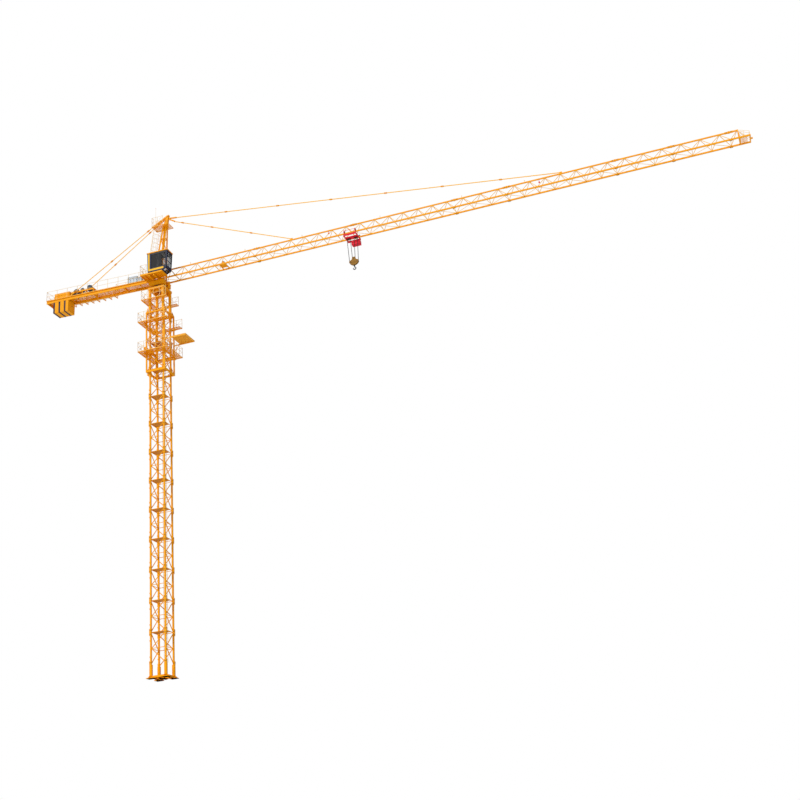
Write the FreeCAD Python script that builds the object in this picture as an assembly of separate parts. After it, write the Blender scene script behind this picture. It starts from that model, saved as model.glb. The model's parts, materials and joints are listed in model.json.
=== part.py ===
import FreeCAD, Part
import math
import os

# A hammerhead tower crane at half size: the fixed tower, its slewing top, the trolley and the hook.
# +X runs along the jib, -Y is the cab's side, and the base rests at Z = 0.

V = FreeCAD.Vector
UP = V(0, 0, 1)

# ---- driving dimensions, in millimetres of the half-size model ----

SEAT_GAP = 0.3                # between faces that run on each other
PANEL_BORDER = 8.0            # left along the edge of a bracing panel
SLAT_PITCH = 60.0             # of the gratings
SLAT_BORDER = 14.0            # left round a grating
GAP_SHARE = 0.55              # of a slat's pitch that is open

# mast
BASE_HEIGHT = 590.0
SECTION_HEIGHT = 1400.0
SECTION_COUNT = 12
POST_SPACING = 710.0          # between the centres of two corner posts
POST_SIZE = 68.0
SLEEVE_SIZE = 92.0
SLEEVE_LENGTH = 150.0
MAST_BRACE = 30.0
LADDER_WIDTH = 200.0
RUNG_PITCH = 150.0
RUNG_SIZE = 12.0
REST_PLATE = 8.0
REST_NEAR_SHARE = 0.8         # of the mast's half width that a rest plate reaches on the near side
REST_FAR_SHARE = 0.55         # and on the ladder's side

# base
FOOT_SIZE = 330.0
FOOT_THICKNESS = 24.0
FOOT_HOLE_SPACING = 250.0
FOOT_HOLE_RADIUS = 14.0
BASE_BEAM_WIDTH = 90.0
BASE_BEAM_HEIGHT = 110.0

# seat below the slewing ring, and the ring
LEG_SIZE = 110.0
LEG_LENGTH = 1490.0           # from the mast's top to the seat plate
SEAT_PLATE = 110.0
SEAT_OVERHANG = 20.0          # of the seat plate past the legs
GUSSET_DROP = 200.0
GUSSET_REACH = 180.0
GUSSET_PLATE = 20.0
ACCESS_HALF = 190.0           # of the square wells that people climb through
RING_BORE = 250.0
RING_OUTER = 330.0
RACE_HEIGHT = 60.0
UPPER_SUPPORT_HEIGHT = 240.0
UPPER_SUPPORT_LENGTH = 800.0
UPPER_SUPPORT_WIDTH = 760.0
MOTOR_OFFSET = 90.0           # of a slewing motor's axis from the upper support's end
MOTOR_RADIUS = 70.0
GEAR_RADIUS = 62.0
GEAR_DROP = 100.0             # of the gear housing below the upper support
MOTOR_SHELF_HALF = 90.0
MOTOR_SHELF_PLATE = 30.0
MOTOR_SHELF_LIFT = 20.0

# climbing cage and platforms, placed from the mast's top
CAGE_GAP = 35.0               # between the joint sleeves and the cage's posts
CAGE_POST = 60.0
CAGE_DROP = 2980.0
CAGE_RISE = 230.0
CAGE_FOOT_BEAM = 90.0
CAGE_RING_BEAM = 60.0
SHOULDER_RISE = 260.0
SHOULDER_RIB = 24.0
SHOULDER_INSET = 40.0
CAGE_BRACE = 26.0
WALK_WIDTH = 282.0            # of the platforms round the cage
UPPER_PLATFORM_DROP = 380.0
LOWER_PLATFORM_DROP = 1970.0
SUPPORT_WALK_WIDTH = 265.0
SUPPORT_PLATFORM_RISE = 850.0
DECK_THICKNESS = 24.0
BRACKET_DROP = 200.0
BRACKET_PLATE = 24.0
RAIL_HEIGHT = 520.0
RAIL_BAR = 12.0
RAIL_PITCH = 330.0            # of the posts round the platforms
LOADING_LENGTH = 1092.0       # past the cage
LOADING_START = 240.0         # of its slats, past the cage
LOADING_SIDE = 58.0           # from the cage's side to the middle of a rail
LOADING_RAIL = 40.0
LOADING_RAIL_DEPTH = 50.0
LOADING_DROP = 1370.0
LOADING_SLAT_PITCH = 70.0
LOADING_GAP_SHARE = 0.3       # of a slat's pitch that is open
PROP_DROP = 400.0
PROP_SIZE = 24.0
JACK_BEAM = 110.0
JACK_BEAM_DROP = 1720.0
JACK_RADIUS = 38.0
JACK_SET_OFF = 32.0           # of the barrel from the cage
JACK_FOOT = 60.0
JACK_STROKE = 360.0           # of the stem that shows

# jib
JIB_LIFT = 79.7               # of the lower chords' centre plane above the tower head's foot
JIB_START = 260.0
JIB_HALF_WIDTH = 281.0
JIB_HEIGHT = 555.0
LOWER_CHORD = 60.0
TOP_CHORD = 54.0
JIB_BRACE = 22.0
LONG_SECTION = 5000.0
SHORT_SECTION = 2500.0
SECTION_PATTERN = "LLLSLSS"   # long and short jib sections from the root outwards
LONG_PANELS = 7
SHORT_PANELS = 3
TIP_LENGTH = 360.0            # of the top chord past the last section
NOSE_LENGTH = 480.0           # of the lower chords past the top chord
NOSE_DECK = (40.0, 330.0)     # start and end of the nose's deck, past the top chord
NOSE_SLAT_PITCH = 36.0
TIP_PLATE = 40.0
TIP_LEG = 36.0
TIP_ARM = 50.0                # of the rope wheel's arm
TIP_WHEEL = 34.0
FRONT_PENDANT_X = 7080.0
FAR_PENDANT_X = 20300.0
PENDANT_BAR = 24.0
PENDANT_LIFT = 40.0           # of a pendant's end above the top chord
COUPLER_HALF = 70.0
COUPLER_GROWTH = 14.0
EAR = 10.0
EAR_DEPTH = 60.0
EAR_HEIGHT = 70.0

# tower head
HEAD_BEAM_WIDTH = 60.0
HEAD_BEAM_HEIGHT = 110.0
HEAD_LEG = 64.0
HEAD_RING_BAR = 36.0
HEAD_DIAGONAL = 30.0
HEAD_RING_SHARES = (0.3, 0.55, 0.78)
HEAD_FOOT_X = 200.0
HEAD_NECK_RISE = 3060.0       # above the jib's plane
HEAD_NECK_REAR_X = 250.0
HEAD_NECK_FRONT_X = 400.0
HEAD_NECK_HALF_WIDTH = 70.0
HEAD_TOP_RISE = 3725.0
HEAD_TOP_X = 495.0
HEAD_PLATFORM_LIFT = 20.0     # above the neck
HEAD_PLATFORM_REAR = -300.0
HEAD_PLATFORM_FRONT = 640.0
HEAD_PLATFORM_HALF = 280.0
HEAD_RAIL_FRONT = 340.0
HEAD_RAIL_OPENING = 130.0     # half of the gap that the ties pass through
AERIAL_X = -60.0
AERIAL_RISE = 440.0           # above the tower head
AERIAL_RADIUS = 8.0
HEAD_LADDER_BACK = 190.0      # behind the rear legs
HEAD_LADDER_HALF = 100.0

# counter-jib, placed from its end
COUNTER_LENGTH = 6250.0
COUNTER_RAKE = 1.8            # degrees that the counter-jib is tilted up towards its end
ROOT_LAP = 10.0               # of its beams, before their root is cut upright
COUNTER_BEAM_WIDTH = 50.0
COUNTER_BEAM_DEPTH = 140.0
COUNTER_BEAM_WEB = 14.0
COUNTER_BEAM_FLANGE = 12.0
COUNTER_BEAM_DROP = 40.0      # of its middle below the tower head's beams
CROSS_BEAM = 40.0
COUNTER_BRACE = 26.0
COUNTER_DECK_SIDE = 49.0      # of the deck past a beam's middle
COUNTER_SLAT_PITCH = 62.0
COUNTER_RAIL_PITCH = 560.0
WEIGHT_THICKNESS = 280.0
WEIGHT_COUNT = 3
WEIGHT_GAP = 5.0
WEIGHT_OFFSET = 420.0
WEIGHT_DROP = 662.0           # below the jib's plane
WEIGHT_RISE = 440.0
WEIGHT_HALF_WIDTH = 300.0     # below the beams
WEIGHT_BEAM_GAP = 6.0         # between a slab and the beams above it
WEIGHT_SIDE_GAP = 8.0
WEIGHT_EAR = 9.0              # of an ear's seat on a beam
WEIGHT_EAR_HEIGHT = 95.0
WEIGHT_EAR_INSET = 60.0
TIE_OFFSET = 1360.0
TIE_TOP_X = -310.0
TIE_TOP_Y = 75.0
TIE_TOP_DROP = 510.0
TIE_FOOT_LIFT = 45.0
TIE_BAR = 22.0
TIE_LAP = 12.0                # how far a tie's end lies between its ears
TIE_SIDE_GAP = 0.9
WALKWAY_WIDTH = 300.0
WALKWAY_OFFSET = 1100.0
WALKWAY_LENGTH = 2500.0
OUTRIGGER = 28.0
OUTRIGGER_PITCH = 420.0
WINCH_OFFSET = 2000.0         # of the winch frame's middle
WINCH_LENGTH = 1290.0
WINCH_HALF_WIDTH = 225.0
WINCH_RAIL_LIFT = 375.0       # above the jib's plane
WINCH_RAIL_WIDTH = 36.0
WINCH_RAIL_DEPTH = 70.0
WINCH_POST = 40.0
DRUM_OFFSET = 410.0           # of the drum's axis behind the winch frame's middle
DRUM_RADIUS = 130.0
DRUM_FLANGE = 178.0
FLANGE_PLATE = 12.0
DRUM_SHAFT = 22.0
DRUM_SHAFT_HALF = 180.0
SHAFT_GAP = 0.05
DRUM_LENGTH = 250.0
DRUM_CHEEK = (150.0, 176.0)   # inner and outer face of a bearing cheek
WINCH_MOTOR_RADIUS = 110.0
WINCH_MOTOR_HALF = 170.0
GEARBOX_HEIGHT = 150.0
CABINET_X = -1640.0
CABINET_LENGTH = 520.0
CABINET_HEIGHT = 370.0
CABINET_NEAR = 34.0           # in from the deck's edge
SMALL_CABINET_X = -1095.0
SMALL_CABINET_LENGTH = 235.0
SMALL_CABINET_HEIGHT = 250.0

# cab
CAB_SIDE_GAP = 69.0           # from the jib's chord plane to the cab
CAB_WIDTH = 550.0
CAB_REAR = -180.0
CAB_LENGTH = 1070.0
CAB_LIFT = 100.0              # of its floor above the jib's plane
CAB_HEIGHT = 1065.0
CAB_WALL = 24.0
CAB_PANE = 8.0
CAB_ROOF_EDGE = 40.0
CAB_ROOF_LIP = 25.0
CAB_TOE_LENGTH = 300.0        # of the sloping foot window
CAB_TOE_RISE = 110.0
CAB_TOE_BACK = 65.0
CAB_SILL = 240.0
CAB_LINTEL = 90.0
CAB_PILLAR = 50.0
DOOR_WIDTH = 300.0
DOOR_HEIGHT = 900.0
DOOR_SILL = 60.0
CAB_DECK_LENGTH = 420.0       # behind the cab
CAB_DECK_GAP = 4.0            # to the counter-jib's deck
CAB_DECK_RIM = 24.0
CAB_JOIST = 16.0
CAB_JOIST_PITCH = 200.0
CAB_ARM = 50.0
CAB_ARM_DEPTH = 90.0

# trolley and its winch
TROLLEY_WINCH_X = 3500.0
WINCH_BEAM_OFFSET = 150.0
WINCH_BEAM_WIDTH = 50.0
WINCH_BEAM_HEIGHT = 19.0
WINCH_SEAT_HALF = (175.0, 150.0)
WINCH_SEAT_PLATE = 12.0
WINCH_CHEEK = 118.0           # inner face of a cheek
WINCH_CHEEK_PLATE = 12.0
WINCH_CHEEK_TOP = 215.0
TROLLEY_DRUM_LIFT = 150.0     # of the drum's axis above the winch beams' foot
TROLLEY_DRUM = 60.0
TROLLEY_FLANGE = 85.0
TROLLEY_DRUM_HALF = 100.0
TROLLEY_SHAFT = 14.0
TROLLEY_X = 10150.0
TROLLEY_HALF = 320.0
TROLLEY_PLATE = 20.0
TROLLEY_TOP = 120.0           # of the side posts above the jib's plane
TROLLEY_RAIL_TOP = 60.0       # of the side rails below it
TROLLEY_RAIL_BOTTOM = 160.0
TROLLEY_POST = 30.0
TROLLEY_CROSS = 35.0
TROLLEY_BALL = 26.0
SIDE_CLEARANCE = 22.0         # between a chord and a side plate
WHEEL_RADIUS = 45.0
WHEEL_WIDTH = 24.0
AXLE_RADIUS = 12.0
TROLLEY_SHEAVE_X = 180.0
TROLLEY_SHEAVE = 75.0
TROLLEY_SHEAVE_DROP = 120.0
TROLLEY_PIN = 10.0
SHEAVE_HALF_WIDTH = 30.0
BASKET_REAR = 170.0
BASKET_FRONT = 250.0
BASKET_WIDTH = 240.0
BASKET_TOP = 100.0            # below the jib's plane
BASKET_DEPTH = 190.0
BASKET_WALL = 12.0

# ropes, block and hook
ROPE_RADIUS = 7.0
ROPE_GAP = 0.6                # between a rope and its sheave
BLOCK_TOP = 1185.0            # below the lower chords' centre plane
BLOCK_BOTTOM = 1605.0
BLOCK_HALF_LENGTH = 235.0
BLOCK_HALF_GAP = 34.0
BLOCK_PLATE = 12.0
BLOCK_BEAM = 60.0
BLOCK_SHEAVE = 60.0
BLOCK_SHEAVE_HALF_WIDTH = 25.0
TOP_SHEAVE_DROP = 70.0        # below the block's top
SIDE_SHEAVE_DROP = 250.0
SIDE_SHEAVE_X = 150.0
HOOK_BEND = 62.0
HOOK_RADIUS = 24.0
HOOK_SHANK = 22.0
HOOK_DROP = 170.0             # of the bend's centre below the block
HOOK_NUT = 24.0
HOOK_TIP_ANGLE = -165.0       # of the hook's tip round its bend, from the jib's direction

# ---- values worked out from them ----

MAST_HALF = POST_SPACING / 2
MAST_TOP = BASE_HEIGHT + SECTION_COUNT * SECTION_HEIGHT
POST_INNER = MAST_HALF - POST_SIZE / 2
SLEEVE_OUTER = POST_INNER + SLEEVE_SIZE
LEG_OUTER = MAST_HALF + LEG_SIZE / 2
CAGE_INNER = SLEEVE_OUTER + CAGE_GAP
CAGE_HALF = CAGE_INNER + CAGE_POST
CAGE_BOTTOM = MAST_TOP - CAGE_DROP
CAGE_TOP = MAST_TOP + CAGE_RISE
PLATFORM_HALF = CAGE_HALF + WALK_WIDTH
UPPER_PLATFORM_Z = MAST_TOP - UPPER_PLATFORM_DROP
LOWER_PLATFORM_Z = MAST_TOP - LOWER_PLATFORM_DROP
SUPPORT_PLATFORM_HALF = LEG_OUTER + SUPPORT_WALK_WIDTH
SUPPORT_PLATFORM_Z = MAST_TOP + SUPPORT_PLATFORM_RISE
LOADING_REACH = CAGE_HALF + LOADING_LENGTH
LOADING_HALF_WIDTH = CAGE_HALF - LOADING_SIDE
LOADING_Z = MAST_TOP - LOADING_DROP
JACK_BEAM_Z = MAST_TOP - JACK_BEAM_DROP

SEAT_LEG_TOP = MAST_TOP + LEG_LENGTH
RING_Z = SEAT_LEG_TOP + SEAT_PLATE
UPPER_RACE_Z = RING_Z + RACE_HEIGHT + SEAT_GAP
UPPER_SUPPORT_Z = UPPER_RACE_Z + RACE_HEIGHT
HEAD_BASE_Z = UPPER_SUPPORT_Z + UPPER_SUPPORT_HEIGHT
HEAD_FOOT_Z = HEAD_BASE_Z + HEAD_BEAM_HEIGHT

JIB_Z = HEAD_BASE_Z + JIB_LIFT          # centre plane of the lower chords
TOP_CHORD_Z = JIB_Z + JIB_HEIGHT
PENDANT_FOOT_Z = TOP_CHORD_Z + TOP_CHORD / 2 + PENDANT_LIFT
CHORD_INNER = JIB_HALF_WIDTH - LOWER_CHORD / 2
CHORD_OUTER = JIB_HALF_WIDTH + LOWER_CHORD / 2
HEAD_NECK_Z = JIB_Z + HEAD_NECK_RISE
HEAD_TOP_Z = JIB_Z + HEAD_TOP_RISE
HEAD_PLATFORM_Z = HEAD_NECK_Z + HEAD_PLATFORM_LIFT

COUNTER_END = -COUNTER_LENGTH
COUNTER_START = -HEAD_FOOT_X - HEAD_LEG
BEAM_Z = HEAD_BASE_Z + HEAD_BEAM_HEIGHT / 2 - COUNTER_BEAM_DROP
BEAM_INNER = JIB_HALF_WIDTH - COUNTER_BEAM_WIDTH / 2
BEAM_OUTER = JIB_HALF_WIDTH + COUNTER_BEAM_WIDTH / 2
DECK_Z = BEAM_Z + COUNTER_BEAM_DEPTH
DECK_TOP = DECK_Z + DECK_THICKNESS
COUNTER_DECK_HALF = JIB_HALF_WIDTH + COUNTER_DECK_SIDE
WEIGHT_START = COUNTER_END + WEIGHT_OFFSET
WEIGHT_BOTTOM = JIB_Z - WEIGHT_DROP
WEIGHT_TOP = JIB_Z + WEIGHT_RISE
TIE_X = COUNTER_END + TIE_OFFSET
WALKWAY_START = COUNTER_END + WALKWAY_OFFSET
WALKWAY_END = WALKWAY_START + WALKWAY_LENGTH
WINCH_X = COUNTER_END + WINCH_OFFSET
WINCH_RAIL_Z = JIB_Z + WINCH_RAIL_LIFT
DRUM_X = WINCH_X - DRUM_OFFSET

CAB_FAR = -JIB_HALF_WIDTH - CAB_SIDE_GAP
CAB_NEAR = CAB_FAR - CAB_WIDTH
CAB_FRONT = CAB_REAR + CAB_LENGTH
CAB_FLOOR_Z = JIB_Z + CAB_LIFT
CAB_ROOF_Z = CAB_FLOOR_Z + CAB_HEIGHT
CAB_DECK_REAR = CAB_REAR - CAB_DECK_LENGTH

SIDE_PLATE_INNER = CHORD_OUTER + SIDE_CLEARANCE
SIDE_PLATE_OUTER = SIDE_PLATE_INNER + TROLLEY_PLATE
WHEEL_Z = JIB_Z + LOWER_CHORD / 2 + WHEEL_RADIUS + SEAT_GAP
TROLLEY_SHEAVE_Z = JIB_Z - TROLLEY_SHEAVE_DROP
WINCH_BEAM_Z = JIB_Z + JIB_BRACE / 2
TROLLEY_DRUM_Z = WINCH_BEAM_Z + TROLLEY_DRUM_LIFT
BLOCK_TOP_Z = JIB_Z - BLOCK_TOP
BLOCK_BOTTOM_Z = JIB_Z - BLOCK_BOTTOM


# ---- basic shapes ----

def block(x0, x1, y0, y1, z0, z1):
    return Part.makeBox(x1 - x0, y1 - y0, z1 - z0, V(x0, y0, z0))


def rod(start, end, radius):
    run = end - start
    return Part.makeCylinder(radius, run.Length, start, run)


def bar(start, end, width, depth):
    """A straight bar of rectangular section. Its width lies level."""
    run = end - start
    side = run.cross(UP)
    if side.Length < 1e-6:
        side = V(1, 0, 0)
    side.normalize()
    rise = side.cross(run)
    rise.normalize()
    corners = [start + side * (a * width / 2) + rise * (b * depth / 2)
               for a, b in ((-1, -1), (1, -1), (1, 1), (-1, 1))]
    return Part.Face(Part.makePolygon(corners + corners[:1])).extrude(run)


def sheet(outline, thickness, holes=()):
    """A flat plate with polygon holes. The corners are vectors, the thickness is a vector."""
    wires = [Part.makePolygon(list(loop) + [loop[0]]) for loop in [outline, *holes]]
    return Part.makeFace(wires, "Part::FaceMakerBullseye").extrude(thickness)


def fuse(shapes):
    if len(shapes) == 1:
        return shapes[0]
    return shapes[0].multiFuse(shapes[1:]).removeSplitter()


def turned(shape, quarter_turns):
    copy = shape.copy()
    copy.rotate(V(0, 0, 0), UP, 90 * quarter_turns)
    return copy


def mirrored(shape):
    """The same shape on the other side of the crane's centre plane."""
    return shape.mirror(V(0, 0, 0), V(0, 1, 0))


def save(name, shapes):
    os.makedirs("parts", exist_ok=True)
    whole = shapes[0] if len(shapes) == 1 else Part.makeCompound(shapes)
    whole.exportStep("parts/" + name + ".step")


# ---- flat bracing panels: a plate with a hole in each cell between its bars ----

def inset(corners, gap):
    """A convex polygon with each side moved inwards by a gap."""
    count = len(corners)
    area = sum(corners[i][0] * corners[(i + 1) % count][1] - corners[(i + 1) % count][0] * corners[i][1]
               for i in range(count))
    turn = 1 if area > 0 else -1
    lines = []
    for i in range(count):
        (x0, y0), (x1, y1) = corners[i], corners[(i + 1) % count]
        length = math.hypot(x1 - x0, y1 - y0)
        nx, ny = -(y1 - y0) / length * turn, (x1 - x0) / length * turn
        lines.append((nx, ny, nx * x0 + ny * y0 + gap))
    result = []
    for i in range(count):
        (a, b, c), (d, e, f) = lines[i - 1], lines[i]
        det = a * e - b * d
        result.append(((c * e - b * f) / det, (a * f - c * d) / det))
    return result


def clip(corners, axis, limit, keep_above):
    """The part of a convex polygon on one side of a level or upright line."""
    sign = 1 if keep_above else -1
    result = []
    for i, here in enumerate(corners):
        before = corners[i - 1]
        here_in = (here[axis] - limit) * sign >= 0
        before_in = (before[axis] - limit) * sign >= 0
        if here_in != before_in:
            t = (limit - before[axis]) / (here[axis] - before[axis])
            result.append(tuple(before[k] + t * (here[k] - before[k]) for k in (0, 1)))
        if here_in:
            result.append(here)
    return result


def windowed(corners, window):
    u0, u1, v0, v1 = window
    for axis, limit, above in ((0, u0, True), (0, u1, False), (1, v0, True), (1, v1, False)):
        corners = clip(corners, axis, limit, above)
    return corners


def panel(window, cells, bar_width, place, thickness):
    """A panel over a window (u0, u1, v0, v1), with its bars centred on the sides of the cells."""
    u0, u1, v0, v1 = window
    inner = (u0 + PANEL_BORDER, u1 - PANEL_BORDER, v0 + PANEL_BORDER, v1 - PANEL_BORDER)
    holes = [windowed(inset(cell, bar_width / 2), inner) for cell in cells]
    outline = [place(*p) for p in ((u0, v0), (u1, v0), (u1, v1), (u0, v1))]
    return sheet(outline, thickness, [[place(*p) for p in hole] for hole in holes if len(hole) > 2])


def zigzag_cells(u0, u1, levels):
    """Each bay between two levels has one diagonal, and the diagonals take turns."""
    cells = []
    for i, (low, high) in enumerate(zip(levels, levels[1:])):
        if i % 2:
            cells += [[(u0, low), (u1, low), (u0, high)], [(u1, low), (u1, high), (u0, high)]]
        else:
            cells += [[(u0, low), (u1, low), (u1, high)], [(u0, low), (u1, high), (u0, high)]]
    return cells


def stations(start, end, pitch):
    """Evenly spaced places from start to end, about a pitch apart."""
    count = max(1, round(abs(end - start) / pitch))
    return [start + (end - start) * i / count for i in range(count + 1)]


def grating(x0, x1, y0, y1, z, pitch, gap_share=GAP_SHARE, cutouts=(), thickness=DECK_THICKNESS):
    """A slatted deck. Each cutout (x0, x1, y0, y1) is left open, with no slat hole near it."""
    holes = []
    rows = stations(x0 + SLAT_BORDER, x1 - SLAT_BORDER, pitch)
    for a, b in zip(rows, rows[1:]):
        middle, half = (a + b) / 2, (b - a) * gap_share / 2
        spans = [(y0 + SLAT_BORDER, y1 - SLAT_BORDER)]
        for c in cutouts:
            if middle + half > c[0] - SLAT_BORDER and middle - half < c[1] + SLAT_BORDER:
                below, above = c[2] - SLAT_BORDER, c[3] + SLAT_BORDER
                spans = [part for low, high in spans
                         for part in ((low, min(high, below)), (max(low, above), high))]
        holes += [[V(middle - half, low, z), V(middle + half, low, z), V(middle + half, high, z),
                   V(middle - half, high, z)] for low, high in spans if high - low > SLAT_BORDER]
    for c in cutouts:
        holes.append([V(c[0], c[2], z), V(c[1], c[2], z), V(c[1], c[3], z), V(c[0], c[3], z)])
    outline = [V(x0, y0, z), V(x1, y0, z), V(x1, y1, z), V(x0, y1, z)]
    return sheet(outline, V(0, 0, thickness), holes)


def railing(start, end, z, pitch=RAIL_PITCH, height=RAIL_HEIGHT):
    """An upright railing between two points of a deck: posts, a foot rail, a middle rail and a hand rail."""
    run = V(end[0] - start[0], end[1] - start[1], 0)
    length = run.Length
    run.normalize()
    across = run.cross(UP) * RAIL_BAR
    origin = V(start[0], start[1], z) - across / 2
    rails = [0, height / 2, height - RAIL_BAR]
    posts = stations(0, length - RAIL_BAR, pitch)
    holes = []
    for a, b in zip(posts, posts[1:]):
        for low, high in zip(rails, rails[1:]):
            corners = ((a + RAIL_BAR, low + RAIL_BAR), (b, low + RAIL_BAR), (b, high), (a + RAIL_BAR, high))
            holes.append([origin + run * u + UP * v for u, v in corners])
    outline = [origin, origin + run * length, origin + run * length + UP * height, origin + UP * height]
    return sheet(outline, across, holes)


# ---- fixed tower ----

def base_frame():
    half = MAST_HALF
    spacing = FOOT_HOLE_SPACING / 2
    foot_hole = [V(sx * spacing, sy * spacing, 0) for sx in (-1, 1) for sy in (-1, 1)]
    foot = block(-FOOT_SIZE / 2, FOOT_SIZE / 2, -FOOT_SIZE / 2, FOOT_SIZE / 2, 0, FOOT_THICKNESS)
    drills = [Part.makeCylinder(FOOT_HOLE_RADIUS, FOOT_THICKNESS, p) for p in foot_hole]
    foot = foot.cut(Part.makeCompound(drills))
    stub_half = LEG_SIZE / 2
    pieces = []
    for sx in (-1, 1):
        for sy in (-1, 1):
            corner = foot.copy()
            corner.translate(V(sx * half, sy * half, 0))
            x, y = sx * half, sy * half
            pieces += [corner, block(x - stub_half, x + stub_half, y - stub_half, y + stub_half,
                                     FOOT_THICKNESS, BASE_HEIGHT)]
    reach = half - stub_half
    width = BASE_BEAM_WIDTH / 2
    for turn in range(4):
        side = block(-reach, reach, -half - width, -half + width, FOOT_THICKNESS, BASE_BEAM_HEIGHT)
        pieces.append(turned(side, turn))
    for turn in (0, 1):
        pieces.append(turned(block(-half, half, -width, width, 0, BASE_BEAM_HEIGHT), turn))
    pieces.append(block(-FOOT_SIZE / 2, FOOT_SIZE / 2, -FOOT_SIZE / 2, FOOT_SIZE / 2, 0, FOOT_THICKNESS))
    return fuse(pieces)


def mast_posts():
    outer = MAST_HALF + POST_SIZE / 2
    post = [block(POST_INNER, outer, POST_INNER, outer, BASE_HEIGHT, MAST_TOP)]
    for i in range(SECTION_COUNT + 1):
        z = BASE_HEIGHT + i * SECTION_HEIGHT
        low = max(BASE_HEIGHT, z - SLEEVE_LENGTH)
        high = min(MAST_TOP, z + SLEEVE_LENGTH)
        post.append(block(POST_INNER, SLEEVE_OUTER, POST_INNER, SLEEVE_OUTER, low, high))
    post = fuse(post)
    return [turned(post, i) for i in range(4)]


def mast_bracing_side(turn):
    """Seen from outside, each section's diagonals run from the right post to the left post and back."""
    cells = []
    u = MAST_HALF
    for i in range(SECTION_COUNT):
        low = BASE_HEIGHT + i * SECTION_HEIGHT
        middle, high = low + SECTION_HEIGHT / 2, low + SECTION_HEIGHT
        cells += [[(-u, high), (u, high), (-u, middle)], [(u, high), (u, middle), (-u, middle)],
                  [(-u, middle), (u, middle), (u, low)], [(-u, middle), (u, low), (-u, low)]]
    window = (-POST_INNER, POST_INNER, BASE_HEIGHT, MAST_TOP)
    side = panel(window, cells, MAST_BRACE, lambda a, b: V(a, -MAST_HALF - MAST_BRACE / 2, b),
                 V(0, MAST_BRACE, 0))
    return turned(side, turn)


def mast_ladder():
    y = MAST_HALF - MAST_BRACE / 2
    low, high = BASE_HEIGHT + RUNG_PITCH, MAST_TOP - RUNG_PITCH
    rungs = stations(low, high, RUNG_PITCH)
    half = LADDER_WIDTH / 2
    holes = [[V(-half + RUNG_SIZE, y, a + RUNG_SIZE / 2), V(half - RUNG_SIZE, y, a + RUNG_SIZE / 2),
              V(half - RUNG_SIZE, y, b - RUNG_SIZE / 2), V(-half + RUNG_SIZE, y, b - RUNG_SIZE / 2)]
             for a, b in zip(rungs, rungs[1:])]
    outline = [V(-half, y, low - RUNG_SIZE), V(half, y, low - RUNG_SIZE), V(half, y, high + RUNG_SIZE),
               V(-half, y, high + RUNG_SIZE)]
    return sheet(outline, V(0, -RUNG_SIZE, 0), holes)


def rest_platforms():
    """A plate on the ring bars of each mast joint, which leaves the ladder's side open."""
    plates = []
    reach = MAST_HALF + MAST_BRACE / 4
    near, far = -MAST_HALF * REST_NEAR_SHARE, MAST_HALF * REST_FAR_SHARE
    for i in range(1, SECTION_COUNT):
        z = BASE_HEIGHT + i * SECTION_HEIGHT + MAST_BRACE / 2
        plates.append(block(-reach, reach, near, far, z, z + REST_PLATE))
    return plates


def lower_support():
    """Four legs on the mast's posts, gussets and the seat plate with its access well."""
    pieces = []
    half = LEG_SIZE / 2
    for sx in (-1, 1):
        for sy in (-1, 1):
            x, y = sx * MAST_HALF, sy * MAST_HALF
            pieces.append(block(x - half, x + half, y - half, y + half, MAST_TOP, SEAT_LEG_TOP))
            inner = sx * (MAST_HALF - half)
            gusset = [V(inner, y, SEAT_LEG_TOP - GUSSET_DROP), V(inner, y, SEAT_LEG_TOP),
                      V(inner - sx * GUSSET_REACH, y, SEAT_LEG_TOP)]
            pieces.append(sheet(gusset, V(0, -sy * GUSSET_PLATE, 0)))
    edge = LEG_OUTER + SEAT_OVERHANG
    pieces.append(block(-edge, edge, -edge, edge, SEAT_LEG_TOP, RING_Z))
    return fuse(pieces).cut(access_well(SEAT_LEG_TOP, RING_Z))


def access_well(z0, z1):
    return block(-ACCESS_HALF, ACCESS_HALF, -ACCESS_HALF, ACCESS_HALF, z0, z1)


def race(z, height=RACE_HEIGHT):
    """A round ring on the slewing axis, with its bottom at z."""
    foot = V(0, 0, z)
    return Part.makeCylinder(RING_OUTER, height, foot).cut(Part.makeCylinder(RING_BORE, height, foot))


def slewing_ring_lower():
    """The lower race on the seat plate, and the skirt that stiffens the plate from below."""
    return [race(RING_Z), race(SEAT_LEG_TOP - SEAT_PLATE, SEAT_PLATE)]


def support_platform():
    """Two side walks and one at the back, open towards the jib side."""
    half, inner = SUPPORT_PLATFORM_HALF, LEG_OUTER
    z = SUPPORT_PLATFORM_Z
    walk = grating(-half, half, -half, -inner, z, SLAT_PITCH)
    back = grating(-half, -inner, -inner, inner, z, SLAT_PITCH)
    return fuse([walk, mirrored(walk), back])


def cage_platform(z, closed):
    """Walks round the cage on brackets. The closed one has a fourth walk on the jib side."""
    half, inner = PLATFORM_HALF, CAGE_HALF
    walk = grating(-half, half, -half, -inner, z, SLAT_PITCH)
    hatch = (-half + SLAT_PITCH, -inner - 20, -JACK_BEAM / 2, JACK_BEAM / 2)
    back = grating(-half, -inner, -inner, inner, z, SLAT_PITCH, cutouts=[hatch] if closed else ())
    pieces = [walk, mirrored(walk), back]
    if closed:
        pieces.append(grating(inner, half, -inner, inner, z, SLAT_PITCH))
    bracket_end = half - 30
    for sy in (-1, 1):
        for x in (-inner + BRACKET_PLATE / 2, inner - BRACKET_PLATE * 1.5):
            foot = [V(x, sy * inner, z), V(x, sy * bracket_end, z), V(x, sy * inner, z - BRACKET_DROP)]
            pieces.append(sheet(foot, V(BRACKET_PLATE, 0, 0)))
    return fuse(pieces)


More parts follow.
